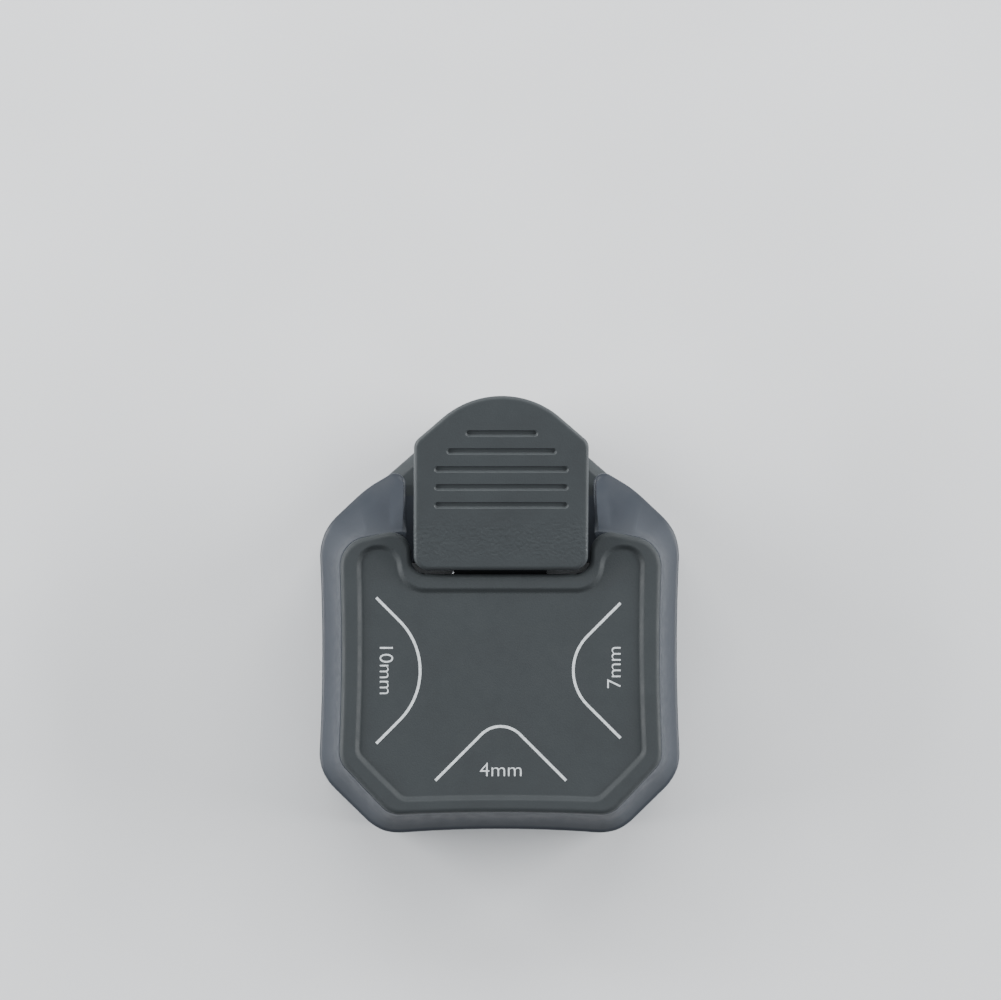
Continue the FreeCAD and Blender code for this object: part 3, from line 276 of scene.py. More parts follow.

# Painted light: the pad's grey is lighter than the cover's, standing in for lamp light that its slope misses.
pad_plastic_painted_light = moulded("pad_plastic_painted_light", linear(55, 59, 61), 0.50, 0.26, 0.016)
LEATHER_FROM, LEATHER_TO = 15.4, 24.0
along = pad_plastic_painted_light.tree.nodes.new("ShaderNodeSeparateXYZ")
pad_plastic_painted_light.link(pad_plastic_painted_light.place, along.inputs["Vector"])
fade_in = pad_plastic_painted_light.ramp(along.outputs["Y"], 0.0, 1.0, LEATHER_FROM * MM, (LEATHER_FROM + 2) * MM)
fade_out = pad_plastic_painted_light.ramp(along.outputs["Y"], 1.0, 0.0, (LEATHER_TO - 3) * MM, LEATHER_TO * MM)
fine = pad_plastic_painted_light.shader.inputs["Normal"].links[0].from_socket
pad_plastic_painted_light.bump(pad_plastic_painted_light.noise(0.50, 1.0), 0.10,
                 pad_plastic_painted_light.math("MULTIPLY", fade_in, fade_out), fine)
print("plastics mixed")

# %% [markdown]
# ### Steel, print and floor
# The plates are ground flat, so their marks run one way. Pins and screws are turned and plated,
# and the strap under the pad is blackened. The print on the cover is a pale grey ink, a little
# uneven where it is thin. The floor is matt, pale paper.

# %% Mix the metals, the ink and the floor
plate_steel = steel("plate_steel", linear(176, 178, 180), 0.34, (1.0, 14.0, 1.0))
punch_steel = steel("punch_steel", linear(150, 152, 156), 0.28, (8.0, 8.0, 1.0))
strap_steel = steel("strap_steel", linear(44, 45, 47), 0.48, (12.0, 1.0, 1.0))
pin_steel = steel("pin_steel", linear(188, 190, 192), 0.22, (1.0, 1.0, 6.0), 0.25, 0.002)
spring_steel = steel("spring_steel", linear(160, 160, 158), 0.26, None, 0.4, 0.003)
screw_steel = steel("screw_steel", linear(172, 174, 178), 0.30, None, 0.3, 0.003)

print_ink = Finish("print_ink", Roughness=0.55)
print_ink.shade(linear(178, 184, 187), linear(204, 210, 212), print_ink.ramp(print_ink.noise(0.5), 0.0, 1.0))
print_ink.bump(print_ink.noise(0.12), 0.004)

floor_finish = Finish("studio_paper", Roughness=0.85)
floor_finish.shade(linear(214, 216, 218), linear(219, 221, 223),
                   floor_finish.ramp(floor_finish.noise(40.0), 0.0, 1.0))
floor_finish.bump(floor_finish.noise(1.0), 0.01)
floor_mesh.materials.append(floor_finish.material)
print("finishes:", len(bpy.data.materials))

# %% [markdown]
# ## Outlines
# Almost every moulded part here is a stack of outlines at different heights. An outline is a list
# of corners, each with its own radius, and `trace` turns it into points. It spends the same
# number of points on every corner and every side, so two outlines with equally many corners have
# matching points, and the surface between them is just quads from one to the other.

# %% Trace and shift outlines
ARC_STEPS = 10                  # steps round a corner
SIDE_STEPS = 12                 # steps along a side
SIDE_WAIST, FRONT_WAIST = 0.5, 0.5      # how far the sides and the front curve in
SIDE_MIDDLE, SIDE_HALF, FRONT_HALF = 3.05, 17.55, 17.5


def trace(corners, closed=True, sides=SIDE_STEPS):
    """Points round corners given as (x, y, radius) or (x, y, radius, steps); an open line keeps
    its two ends as they are."""
    count, arcs = len(corners), []
    for index, corner in enumerate(corners):
        here, radius = Vector(corner[:2]), corner[2]
        steps = corner[3] if len(corner) > 3 else ARC_STEPS
        if radius == 0 or (not closed and index in (0, count - 1)):
            arcs.append([here])
            continue
        before = (Vector(corners[index - 1][:2]) - here).normalized()
        after = (Vector(corners[(index + 1) % count][:2]) - here).normalized()
        half = before.angle(after) / 2
        middle = here + (before + after).normalized() * (radius / math.sin(half))
        start = here + before * (radius / math.tan(half)) - middle
        end = here + after * (radius / math.tan(half)) - middle
        turn = start.angle(end)
        arcs.append([middle + (start * math.sin(turn * (1 - k / steps)) + end * math.sin(turn * k / steps))
                     / math.sin(turn) for k in range(steps + 1)])
    points = []
    for index, arc in enumerate(arcs):
        points += arc
        if closed or index < count - 1:
            start, end = arc[-1], arcs[(index + 1) % count][0]
            points += [start.lerp(end, k / sides) for k in range(1, sides)]
    return [(point.x, point.y) for point in points]


def circle(x, y, diameter, steps=32):
    """Points round a circle."""
    turns = [2 * math.pi * step / steps for step in range(steps)]
    return [(x + diameter / 2 * math.cos(turn), y + diameter / 2 * math.sin(turn)) for turn in turns]


def mirrored(half, closed=True):
    """Corners of a shape that is the same left and right, from those of its right half."""
    left = [(-corner[0],) + tuple(corner[1:]) for corner in reversed(half) if corner[0] > 0]
    return half + left if closed else left + half


def waisted(points, front_waist=FRONT_WAIST):
    """Draw the sides and the front in a little, most at their middle."""
    shaped = []
    for x, y in points:
        side = max(0.0, 1 - ((y - SIDE_MIDDLE) / SIDE_HALF) ** 2) * SIDE_WAIST / 25.0
        front = max(0.0, 1 - (x / FRONT_HALF) ** 2) * front_waist / 23.0 if y < 0 else 0.0
        shaped.append((x * (1 - side), y * (1 - front)))
    return shaped


def inset(points, distance, closed=True):
    """Move an anticlockwise outline inwards; an open line moves to its left."""
    shifted, count = [], len(points)
    for index, (x, y) in enumerate(points):
        first = points[index - 1] if closed or index > 0 else points[0]
        last = points[(index + 1) % count] if closed or index < count - 1 else points[-1]
        way = Vector((last[0] - first[0], last[1] - first[1])).normalized()
        shifted.append((x - way.y * distance, y + way.x * distance))
    return shifted


def mixed(first, second, share):
    """Outline between two matching ones."""
    return [(a[0] + (b[0] - a[0]) * share, a[1] + (b[1] - a[1]) * share) for a, b in zip(first, second)]


# %% Turn outlines into surfaces
def ring(bm, points, height):
    """Vertices along an outline; height is one number or a function of (x, y)."""
    level = height if callable(height) else lambda x, y: height
    return [bm.verts.new((x, y, level(x, y))) for x, y in points]


def skin(bm, rings, closed=True):
    """Quads between each ring and the next."""
    for low, high in zip(rings, rings[1:]):
        count = len(low)
        for index in range(count if closed else count - 1):
            after = (index + 1) % count
            bm.faces.new((low[index], low[after], high[after], high[index]))


def fill(bm, outer, holes=()):
    """A flat face inside a ring, round its holes."""
    rings = [outer] + list(holes)
    corners = [vertex for each in rings for vertex in each]
    for triangle in tessellate_polygon([[vertex.co for vertex in each] for each in rings]):
        bm.faces.new([corners[index] for index in triangle])


def rounding(radius, steps=5, start=0.0, end=90.0):
    """Steps of a rounded edge: pairs (how far in, how far up) from its lower end."""
    pairs = []
    for step in range(steps + 1):
        angle = math.radians(start + (end - start) * step / steps)
        pairs.append((radius * (1 - math.cos(angle)), radius * math.sin(angle)))
    return pairs


def piece(bm, name, body, finish, replaces=(), sharp=38.0, merge=1e-4):
    """Close the mesh, scale it to metres and hang it on its body."""
    bmesh.ops.remove_doubles(bm, verts=bm.verts, dist=merge)
    bmesh.ops.recalc_face_normals(bm, faces=bm.faces)
    open_edges = sum(1 for edge in bm.edges if not edge.is_manifold)
    mesh = bpy.data.meshes.new(name)
    bm.to_mesh(mesh)
    bm.free()
    mesh.transform(Matrix.Scale(MM, 4))
    for polygon in mesh.polygons:
        polygon.use_smooth = True
    mesh.set_sharp_from_angle(angle=math.radians(sharp))
    mesh.materials.append(finish.material)
    made = bpy.data.objects.new(name, mesh)
    bpy.context.scene.collection.objects.link(made)
    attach(made, body)
    if replaces:
        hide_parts(*replaces)
    print("%s: %d faces, %d open edges" % (name, len(mesh.polygons), open_edges))
    return made


def column(bm, x, y, low, high, diameter, edge=0.0):
    """An upright round post with closed ends and an optional bevelled top."""
    outline = circle(x, y, diameter)
    rows = [ring(bm, outline, low), ring(bm, outline, high - edge)]
    if edge:
        rows.append(ring(bm, inset(outline, edge), high))
    skin(bm, rows)
    fill(bm, rows[0])
    fill(bm, rows[-1])


print("outline tools ready")

# %% [markdown]
# ## Top cover
# The cover is a plate with a softly rounded rim and a sunk panel. Its outline has two ears that
# reach back beside the thumb pad. The rim's edge and the step down to the panel are made of rows:
# the same outline, shifted in and up along a quarter circle or a soft S. A row just inside each
# flat holds the flat flat, so that smooth shading doesn't smear over it.

# %% Make the top cover
COVER_ROUND = 0.75
PANEL_DROP = 0.5
STEP_WIDTH = 0.9                # width of the soft step between rim and panel
HOLD = 0.05

cover_half = span("top_cover", 0)[1] + 0.08
cover_front = span("top_cover", 1)[0] - 0.02
ear_rear = span("top_cover", 1)[1]
cover_line = waisted(trace(mirrored([
    (16.4, cover_front, 4.0), (cover_half, -13.4, 4.0), (cover_half, ear_rear - 1.62, 4.6),
    (13.4, ear_rear + 0.71, 3.0), (13.4, 14.35, 2.2)])))
panel_line = waisted(trace(mirrored([
    (14.6, -19.3, 2.2), (21.5, -12.3, 2.2), (21.3, 18.35, 2.85), (15.5, 18.35, 2.85),
    (14.8, 11.9, 3.7)])))

bm = bmesh.new()
rows = [ring(bm, inset(cover_line, 0.18), COVER_Z), ring(bm, cover_line, COVER_Z + 0.18)]
for inwards, up in rounding(COVER_ROUND, 6):
    rows.append(ring(bm, inset(cover_line, inwards), TOP_Z - COVER_ROUND + up))
rows.append(ring(bm, inset(cover_line, COVER_ROUND + HOLD), TOP_Z))
skin(bm, rows)
fill(bm, rows[0])
steps = 8
soft = [ring(bm, inset(panel_line, -STEP_WIDTH / 2 - HOLD), TOP_Z)]
for step in range(steps + 1):
    share = step / steps
    fall = share * share * (3 - 2 * share)
    soft.append(ring(bm, inset(panel_line, STEP_WIDTH * (share - 0.5)), TOP_Z - PANEL_DROP * fall))
soft.append(ring(bm, inset(panel_line, STEP_WIDTH / 2 + HOLD), TOP_Z - PANEL_DROP))
skin(bm, soft)
fill(bm, rows[-1], [soft[0]])
fill(bm, soft[-1])
piece(bm, "cover_shell", "base", cover_plastic, ["top_cover"])

# %% [markdown]
# ## Upper housing
# The housing is one strip that runs from one shoulder tip round the front to the other. From
# outside in, its section goes up a short skirt, over a narrow rounded crest that catches a line
# of light, up a slightly hollow flank to the cover, and down again inside. So we sweep: each row
# is a line between the crest's outline and the flank's top, and the rows are joined in turn.
# Below sits a floor with the seat of the stripper plate cut out.

# %% Outlines of the housing and of the plate seat
NOTCH = 14.0                    # half width of the gap for the thumb pad
HOUSING_WAIST = 0.75            # the housing's front curves in more than the cover's
housing_half = span("upper_housing", 0)[1] + 0.1
housing_front = span("upper_housing", 1)[0] - 0.1
tip_rear = span("upper_housing", 1)[1]


def housing_line(corners):
    """An open line round the housing from the left tip to the right one."""
    return waisted(trace(mirrored(corners, closed=False), closed=False), HOUSING_WAIST)


def crest(tip_round):
    """The crest's outline, with its shoulder tips rounded by a given radius."""
    return housing_line([(17.6, housing_front, 8.0), (housing_half, -15.3, 8.0),
                         (housing_half, 20.4, 9.0, 14), (19.88, 27.09, 18.0, 6),
                         (NOTCH, tip_rear + 0.96, tip_round, 14), (NOTCH, tip_rear - 3.6, 0)])


crest_line, crisp_line = crest(1.6), crest(0.25)
flank_line = housing_line([(16.45, cover_front - 0.13, 4.1), (cover_half + 0.14, -13.45, 4.1),
                           (cover_half + 0.14, ear_rear - 1.5, 4.7, 14), (18.2, 20.42, 30.0, 6),
                           (NOTCH + 0.6, 20.75, 0.4, 14), (NOTCH, 20.6, 0)])


def plate_line(grow):
    """The outline of the die plate and of the stripper plate, widened by grow."""
    half, front, rear, cut = 18.5 + grow, -13.5 - grow, 16.0 + grow, 4.0
    return trace([(half - cut, front, 0), (half, front + cut, 0), (half, rear, 0), (-half, rear, 0),
                  (-half, front + cut, 0), (cut - half, front, 0)], sides=1)


print("housing outline:", len(crest_line), "points")

# %% Sweep the housing's wall
CREST_Z = 12.9
CREST_ROUND = 0.45
HOLLOW = 0.55                   # how far the flank curves in
WALL = 1.9

bm = bmesh.new()


def wall_line(share, inwards):
    """An outline of the wall: share 0 is the crest's outline, share 1 the flank's top. The shoulder
    tips are round at the crest only, and crisp from a quarter of the way up."""
    foot = mixed(crest_line, crisp_line, min(1.0, 4 * share))
    return inset(mixed(foot, flank_line, share), inwards, closed=False)


def wall_row(share, inwards, height):
    """One row of the wall."""
    return ring(bm, wall_line(share, inwards), height)


def hollow_row(share, inwards, height, hollow):
    """A row of the hollow flank. The hollow fades out towards the notch, whose edge is straight."""
    def fade(x, y):
        return 1.0 if y < 10 else min(1.0, max(0.0, (abs(x) - NOTCH) / 2.5))

    plain = wall_line(share, inwards)
    bent = inset(plain, hollow * 0.75, closed=False)
    line = [(x + (u - x) * fade(x, y), y + (v - y) * fade(x, y)) for (x, y), (u, v) in zip(plain, bent)]
    return ring(bm, line, lambda x, y: height - hollow * 0.45 * fade(x, y))


rows = [wall_row(0, 0.75, SLOT_Z), wall_row(0, 0.55, SLOT_Z + 0.06), wall_row(0, 0.46, SLOT_Z + 0.22)]
rows += [wall_row(0, 0.30, FLOOR_Z), wall_row(0, 0.08, CREST_Z - 0.35)]
floor_row = 3
for inwards, up in rounding(CREST_ROUND, 5, 0.0, 68.0):
    rows.append(wall_row(0, inwards, CREST_Z + up))
crest_in, crest_up = rounding(CREST_ROUND, 1, 0.0, 68.0)[-1]
steps = 14
for step in range(1, steps + 1):
    share = step / steps
    hollow = HOLLOW * 4 * share * (1 - share)
    rise = CREST_Z + crest_up + (COVER_Z - 0.12 - CREST_Z - crest_up) * share
    rows.append(hollow_row(share, crest_in * (1 - share), rise, hollow))
rows += [wall_row(1, 0.04, COVER_Z - 0.04), wall_row(1, 0.14, COVER_Z), wall_row(1, 0.3, COVER_Z)]
rows += [wall_row(1, WALL - 0.2, COVER_Z), wall_row(1, WALL, COVER_Z - 0.2), wall_row(1, WALL, FLOOR_Z)]
skin(bm, rows, closed=False)
for end in (0, -1):
    fill(bm, [row[end] for row in rows[floor_row:]])

# %% Close the housing with its floor, screw bosses and pivot lugs
seat_low, seat_high = ring(bm, plate_line(0.1), SLOT_Z), ring(bm, plate_line(0.1), FLOOR_Z)
skin(bm, [seat_low, seat_high])
fill(bm, rows[0], [seat_low])
left_end = [rows[floor_row][0], rows[-1][0]]
right_end = [rows[-1][-1], rows[floor_row][-1]]
fill(bm, rows[-1] + [right_end[1], left_end[0]], [seat_high])
rear = [[row[-1], row[0]] for row in rows[:floor_row + 1]]
skin(bm, rear, closed=False)

BOSS = 5.6                      # diameter of the screw bosses
SCREW_PLACES = [(-17.0, -16.45), (17.0, -16.45), (-18.0, 18.0), (18.0, 18.0)]
for x, y in SCREW_PLACES:
    column(bm, x, y, FLOOR_Z - 0.1, 18.0, BOSS, edge=0.3)
for side in (-1, 1):
    lug = trace([(7.2, -18.3, 0.6), (9.78, -18.3, 0.6), (9.78, -13.7, 0.6), (7.2, -13.7, 0.6)], sides=2)
    lug = [(side * x, y) for x, y in lug]
    rows = [ring(bm, lug, FLOOR_Z - 0.1), ring(bm, lug, 19.7), ring(bm, inset(lug, 0.3 * side), 20.0)]
    skin(bm, rows)
    fill(bm, rows[0])
    fill(bm, rows[-1])
piece(bm, "housing_shell", "base", housing_plastic, ["upper_housing"])

# %% [markdown]
# ## Base
# The base is a hollow tray: a table on top with the die plate's seat, a chamber for the
# clippings, and an opening in the floor for the scrap door. Each level is a flat with holes, and
# upright walls join the levels. Where the base sticks out behind the housing, its top edge is a
# wider slope, so that edge's width grows with y.

# %% Outer skin of the base
base_half = span("lower_housing", 0)[1] + 0.11
base_front = span("lower_housing", 1)[0] - 0.12
base_line = waisted(trace(mirrored([
    (17.4, base_front, 7.6), (base_half, -15.0, 7.6), (base_half, 20.4, 8.6, 14),
    (0, 43.4, 16.8, 44)])))


def slope(y):
    """How far the top edge has widened at a place y: 0 in front, 1 on the rear lobe."""
    share = min(1.0, max(0.0, (y - 19.0) / 9.0))
    return share * share * (3 - 2 * share)


def edge_row(inwards, down):
    """A row of the base's top edge, given for the front and for the rear: (front, rear) pairs."""
    narrow, wide = inset(base_line, inwards[0]), inset(base_line, inwards[1])
    points = [(a[0] + (b[0] - a[0]) * slope(p[1]), a[1] + (b[1] - a[1]) * slope(p[1]))
              for a, b, p in zip(narrow, wide, base_line)]
    return [bm.verts.new((x, y, TABLE_Z - down[0] - (down[1] - down[0]) * slope(p[1])))
            for (x, y), p in zip(points, base_line)]


bm = bmesh.new()
BASE_ROUND = 0.8
rows = [ring(bm, inset(base_line, BASE_ROUND + HOLD), 0.0)]
for inwards, up in reversed(rounding(BASE_ROUND, 5)):
    rows.append(ring(bm, inset(base_line, inwards), BASE_ROUND - up))
rows += [edge_row((0.0, 0.0), (0.75, 1.9)), edge_row((0.05, 0.15), (0.45, 1.5))]
rows += [edge_row((0.18, 0.9), (0.15, 0.45)), edge_row((0.32, 1.25), (0.04, 0.10))]
rows += [edge_row((0.5, 1.5), (0.0, 0.0)), edge_row((0.55, 1.6), (0.0, 0.0))]
skin(bm, rows)
under_ring, table_ring = rows[0], rows[-1]

# %% Levels inside the base
CEILING_Z, TRAY_Z, SEAT_Z = 6.4, 1.8, 7.5
HEAD_HOLE = 4.0                 # diameter of the holes for the screw heads
chamber = trace(mirrored([(15.4, -21.7, 1.5), (24.2, -12.3, 1.5), (24.2, 18.4, 2.5),
                          (11.5, 29.1, 2.5)]), sides=4)
opening = trace([(13.75, 2.4, 0.4), (13.75, 26.5, 0.4), (4.5, 26.5, 0.5), (4.5, 29.0, 0.9),
                 (-4.5, 29.0, 0.9), (-4.5, 26.5, 0.5), (-13.75, 26.5, 0.4), (-13.75, 2.4, 0.4)], sides=2)
heads = [circle(x, y, HEAD_HOLE) for x, y in SCREW_PLACES]

seat_top, seat_low = ring(bm, plate_line(0.1), TABLE_Z), ring(bm, plate_line(0.1), SEAT_Z)
well_top, well_low = ring(bm, plate_line(-1.5), SEAT_Z), ring(bm, plate_line(-1.5), CEILING_Z)
room_top, room_low = ring(bm, chamber, CEILING_Z), ring(bm, chamber, TRAY_Z)
door_top, door_low = ring(bm, opening, TRAY_Z), ring(bm, opening, 0.0)
fill(bm, table_ring, [seat_top])
skin(bm, [seat_top, seat_low])
fill(bm, seat_low, [well_top])
skin(bm, [well_top, well_low])
fill(bm, room_top, [well_low])
skin(bm, [room_top, room_low])
fill(bm, room_low, [door_top])
skin(bm, [door_top, door_low])
head_rings = [ring(bm, head, 0.0) for head in heads]
fill(bm, under_ring, [door_low] + head_rings)
for head, low in zip(heads, head_rings):
    high = ring(bm, head, TRAY_Z)
    skin(bm, [low, high])
    fill(bm, high)

# %% Columns and hinge lugs of the base
for x, y in SCREW_PLACES:
    column(bm, x, y, TRAY_Z + 0.001, CEILING_Z + 0.5, BOSS)
for side in (-1, 1):
    lug = trace([(13.75, 1.3, 0.6), (16.35, 1.3, 0.6), (16.35, 6.7, 0.6), (13.75, 6.7, 0.6)], sides=2)
    lug = [(side * x, y) for x, y in lug]
    rows = [ring(bm, lug, 0.0), ring(bm, lug, 2.8), ring(bm, inset(lug, 0.3 * side), 3.1)]
    skin(bm, rows)
    fill(bm, rows[0])
    fill(bm, rows[-1])
piece(bm, "base_shell", "base", base_plastic, ["lower_housing"])

# %% [markdown]
# ## Thumb pad
# The pad is a shallow upturned cup that slopes up to the rear. We draw it flat, in a frame of its
# own where the top is at zero height, and turn that frame to the pad's slope. The skirt then runs
# straight down in the object's frame, so the pad looks upright from above. Five rounded grooves
# are cut into the top as holes with their own small walls.

# %% The pad's frame and outline
PAD_SLOPE = math.radians(16.0)
pad_front = span("thumb_pad", 1)[0]
PAD_TOP = 23.3                  # height of the pad's front edge
PAD_SKIRT, PAD_SHELL, PAD_ROUND = 4.4, 1.6, 0.62
pad_half = span("thumb_pad", 0)[1]
pad_line = trace([(pad_half, 0, 2.2), (pad_half, 19.75, 1.9), (0, 31.34, 13.0, 48),
                  (-pad_half, 19.75, 1.9), (-pad_half, 0, 2.2),
                  (-7.3, 0, 0), (-7.1, 0, 0), (7.1, 0, 0), (7.3, 0, 0)])


def on_pad(x, along, up=0.0):
    """A point of the pad's own frame, in the object's frame."""
    return (x, pad_front + along * math.cos(PAD_SLOPE) - up * math.sin(PAD_SLOPE),
            PAD_TOP + along * math.sin(PAD_SLOPE) + up * math.cos(PAD_SLOPE))


def pad_ring(points, up=0.0, drop=0.0):
    """Vertices of a line in the pad's frame, up above its top and drop straight down from there."""
    fall = drop if callable(drop) else lambda x, along: drop
    return [bm.verts.new(Vector(on_pad(x, along, up)) - Vector((0, 0, fall(x, along))))
            for x, along in points]


def skirt_depth(x, along):
    """The skirt is shorter where the lever goes under its front edge."""
    return 3.0 if abs(x) < 7.2 and along < 3.0 else PAD_SKIRT


print("pad outline:", len(pad_line), "points")

# %% Make the thumb pad with its grooves
GROOVE_WIDTH, GROOVE_DEPTH, GROOVE_PITCH, GROOVE_FIRST = 1.05, 0.34, 2.77, 10.0
GROOVE_HALVES = (10.0, 10.0, 10.0, 8.2, 5.4)

bm = bmesh.new()
rows = [pad_ring(inset(pad_line, PAD_SHELL), 0.0, PAD_SHELL),
        pad_ring(inset(pad_line, PAD_SHELL), 0.0, lambda x, y: skirt_depth(x, y) - 0.1),
        pad_ring(inset(pad_line, PAD_SHELL - 0.1), 0.0, skirt_depth),
        pad_ring(inset(pad_line, 0.2), 0.0, skirt_depth),
        pad_ring(inset(pad_line, 0.06), 0.0, lambda x, y: skirt_depth(x, y) - 0.06),
        pad_ring(pad_line, 0.0, lambda x, y: skirt_depth(x, y) - 0.2),
        pad_ring(pad_line, 0.0, 1.6)]
for inwards, up in rounding(PAD_ROUND, 6):
    rows.append(pad_ring(inset(pad_line, inwards), 0.0, PAD_ROUND - up))
rows.append(pad_ring(inset(pad_line, PAD_ROUND + HOLD)))
skin(bm, rows)
fill(bm, rows[0])
mouths = []
for number, half in enumerate(GROOVE_HALVES):
    middle, reach = GROOVE_FIRST + GROOVE_PITCH * number, GROOVE_WIDTH / 2
    radius = reach * 0.999
    slot = trace([(half, middle - reach, radius, 8), (half, middle + reach, radius, 8),
                  (-half, middle + reach, radius, 8), (-half, middle - reach, radius, 8)], sides=6)
    walls = [pad_ring(inset(slot, -HOLD)), pad_ring(slot), pad_ring(inset(slot, 0.05), -0.04),
             pad_ring(inset(slot, 0.10), -0.12), pad_ring(inset(slot, 0.16), -GROOVE_DEPTH + 0.10),
             pad_ring(inset(slot, 0.22), -GROOVE_DEPTH + 0.03), pad_ring(inset(slot, 0.30), -GROOVE_DEPTH),
             pad_ring(inset(slot, 0.34), -GROOVE_DEPTH)]
    skin(bm, walls)
    fill(bm, walls[-1])
    mouths.append(walls[0])
fill(bm, rows[-1], mouths)
STRAP_DEPTH = 3.33              # the lever's upper face under the pad's top
PAD_POST = 5.0                  # diameter of the posts that the pad's screws go into
PAD_POSTS = [GROOVE_FIRST + GROOVE_PITCH * number for number in (0.5, 3.5)]
for around in PAD_POSTS:
    outline = circle(0.0, around, PAD_POST)
    post = [pad_ring(outline, -STRAP_DEPTH), pad_ring(outline, -0.9)]
    skin(bm, post)
    fill(bm, post[0])
    fill(bm, post[1])
piece(bm, "pad_shell", "lever", pad_plastic_painted_light, ["thumb_pad"])

# %% [markdown]
# ## Printed marks
# Each station is marked on the cover by the corner that it cuts, a quarter arc between two
# straight ends, with its radius in millimetres beside it. Ink has almost no thickness, but a
# thin ribbon is easier to place than a texture, and it stays crisp at any distance. The figures
# use Blender's own font, made into a mesh.

# %% Draw the three corners
PANEL_Z = TOP_Z - PANEL_DROP
INK = 0.025                     # thickness of the print
LINE_WIDTH = 0.40


def corner_mark(radius, leg):
    """Centre line of one mark, opening downwards: a leg at 45 degrees, the arc, and a leg."""
    turns = [math.radians(degrees) for degrees in range(-45, 46, 3)]
    arc = [(radius * math.sin(turn), radius * math.cos(turn)) for turn in turns]
    end = leg * math.sqrt(0.5)
    return [(arc[0][0] - end, arc[0][1] - end)] + arc + [(arc[-1][0] + end, arc[-1][1] - end)]


def placed(points, x, y, turn):
    """Turn points about the origin, then move them to (x, y)."""
    cosine, sine = math.cos(math.radians(turn)), math.sin(math.radians(turn))
    return [(x + px * cosine - py * sine, y + px * sine + py * cosine) for px, py in points]


def ribbon(bm, points, width, low, high):
    """A thin raised line."""
    left, right = inset(points, width / 2, closed=False), inset(points, -width / 2, closed=False)
    outline = right + left[::-1]
    rows = [ring(bm, outline, low), ring(bm, outline, high)]
    skin(bm, rows)
    count = len(points)
    for level in rows:
        for here in range(count - 1):
            across = 2 * count - 1 - here
            bm.faces.new((level[here], level[here + 1], level[across - 1], level[across]))


MARKS = [("10mm", 10.42, 4.9, (-22.4, 0.0), -90.0), ("7mm", 7.30, 6.9, (18.1, 0.0), 90.0),
         ("4mm", 4.05, 9.7, (0.0, -12.35), 0.0)]
bm = bmesh.new()
for label, radius, leg, (x, y), turn in MARKS:
    ribbon(bm, placed(corner_mark(radius, leg), x, y, turn), LINE_WIDTH, PANEL_Z - 0.01, PANEL_Z + INK)
piece(bm, "printed_corners", "base", print_ink, sharp=30.0)

# %% Set the three sizes in type
LABELS = [("10mm", (-17.0, 0.0), -90.0, 2.0, 7.0), ("7mm", (16.85, 0.45), 90.0, 2.0, 6.1),
          ("4mm", (0.0, -14.7), 0.0, 2.0, 6.2)]
bm = bmesh.new()
for text, (x, y), turn, height, width in LABELS:
    curve = bpy.data.curves.new("label", "FONT")
    curve.body, curve.align_x, curve.align_y = text, "CENTER", "CENTER"
    curve.extrude, curve.resolution_u, curve.offset = 0.5, 6, -0.008
    typed = bpy.data.objects.new("label", curve)
    bpy.context.scene.collection.objects.link(typed)
    bpy.context.view_layer.update()
    flat = bpy.data.meshes.new_from_object(typed.evaluated_get(bpy.context.evaluated_depsgraph_get()))
    xs, ys = [v.co.x for v in flat.vertices], [v.co.y for v in flat.vertices]
    centre = ((min(xs) + max(xs)) / 2, (min(ys) + max(ys)) / 2)
    wide, tall = width / (max(xs) - min(xs)), height / (max(ys) - min(ys))
    flat.transform(Matrix.Translation((x, y, PANEL_Z)) @ Matrix.Rotation(math.radians(turn), 4, "Z")
                   @ Matrix.Diagonal((wide, tall, INK, 1.0))
                   @ Matrix.Translation((-centre[0], -centre[1], 0.5)))
    bm.from_mesh(flat)
    bpy.data.objects.remove(typed)
piece(bm, "printed_sizes", "base", print_ink, sharp=30.0, merge=1e-5)

# %% [markdown]
# ## Screws and rivets
# The same screw sits in many places, which is what Geometry Nodes are for: one tree builds the
# screw from its sizes, puts a copy on every point of a small mesh, and turns the copies into real
# faces. The sizes are the tree's inputs, so one tree serves the housing, the punches and the pad.

# %% A tree that makes screws on points
def new_tree(name, sizes, vectors=()):
    """A node tree with geometry in and out and one named input for each size."""
    tree = bpy.data.node_groups.new(name, "GeometryNodeTree")
    tree.interface.new_socket("Geometry", in_out="INPUT", socket_type="NodeSocketGeometry")
    for each in sizes:
        tree.interface.new_socket(each, in_out="INPUT", socket_type="NodeSocketFloat")
    for each in vectors:
        tree.interface.new_socket(each, in_out="INPUT", socket_type="NodeSocketVector")
    tree.interface.new_socket("Finish", in_out="INPUT", socket_type="NodeSocketMaterial")
    tree.interface.new_socket("Geometry", in_out="OUTPUT", socket_type="NodeSocketGeometry")
    return tree, tree.nodes.new("NodeGroupInput"), tree.nodes.new("NodeGroupOutput")


def node(tree, kind, links=(), **settings):
    """Add a node; links pairs an input's name with a socket or a plain value."""
    made = tree.nodes.new("GeometryNode" + kind if not kind.startswith("Shader") else kind)
    for key, value in settings.items():
        setattr(made, key, value)
    for name, source in links:
        target = made.inputs[name]
        if isinstance(source, bpy.types.NodeSocket):
            tree.links.new(source, target)
        else:
            target.default_value = source
    return made


def scaled(tree, socket, factor, offset=0.0):
    """A socket's value times factor, plus offset."""
    made = tree.nodes.new("ShaderNodeMath")
    made.operation = "MULTIPLY_ADD"
    tree.links.new(socket, made.inputs[0])
    made.inputs[1].default_value, made.inputs[2].default_value = factor, offset
    return made.outputs[0]


def upright(tree, mesh, height):
    """Lift a mesh along Z."""
    place = tree.nodes.new("ShaderNodeCombineXYZ")
    tree.links.new(height, place.inputs["Z"])
    return node(tree, "Transform", [("Geometry", mesh), ("Translation", place.outputs[0])]).outputs[0]


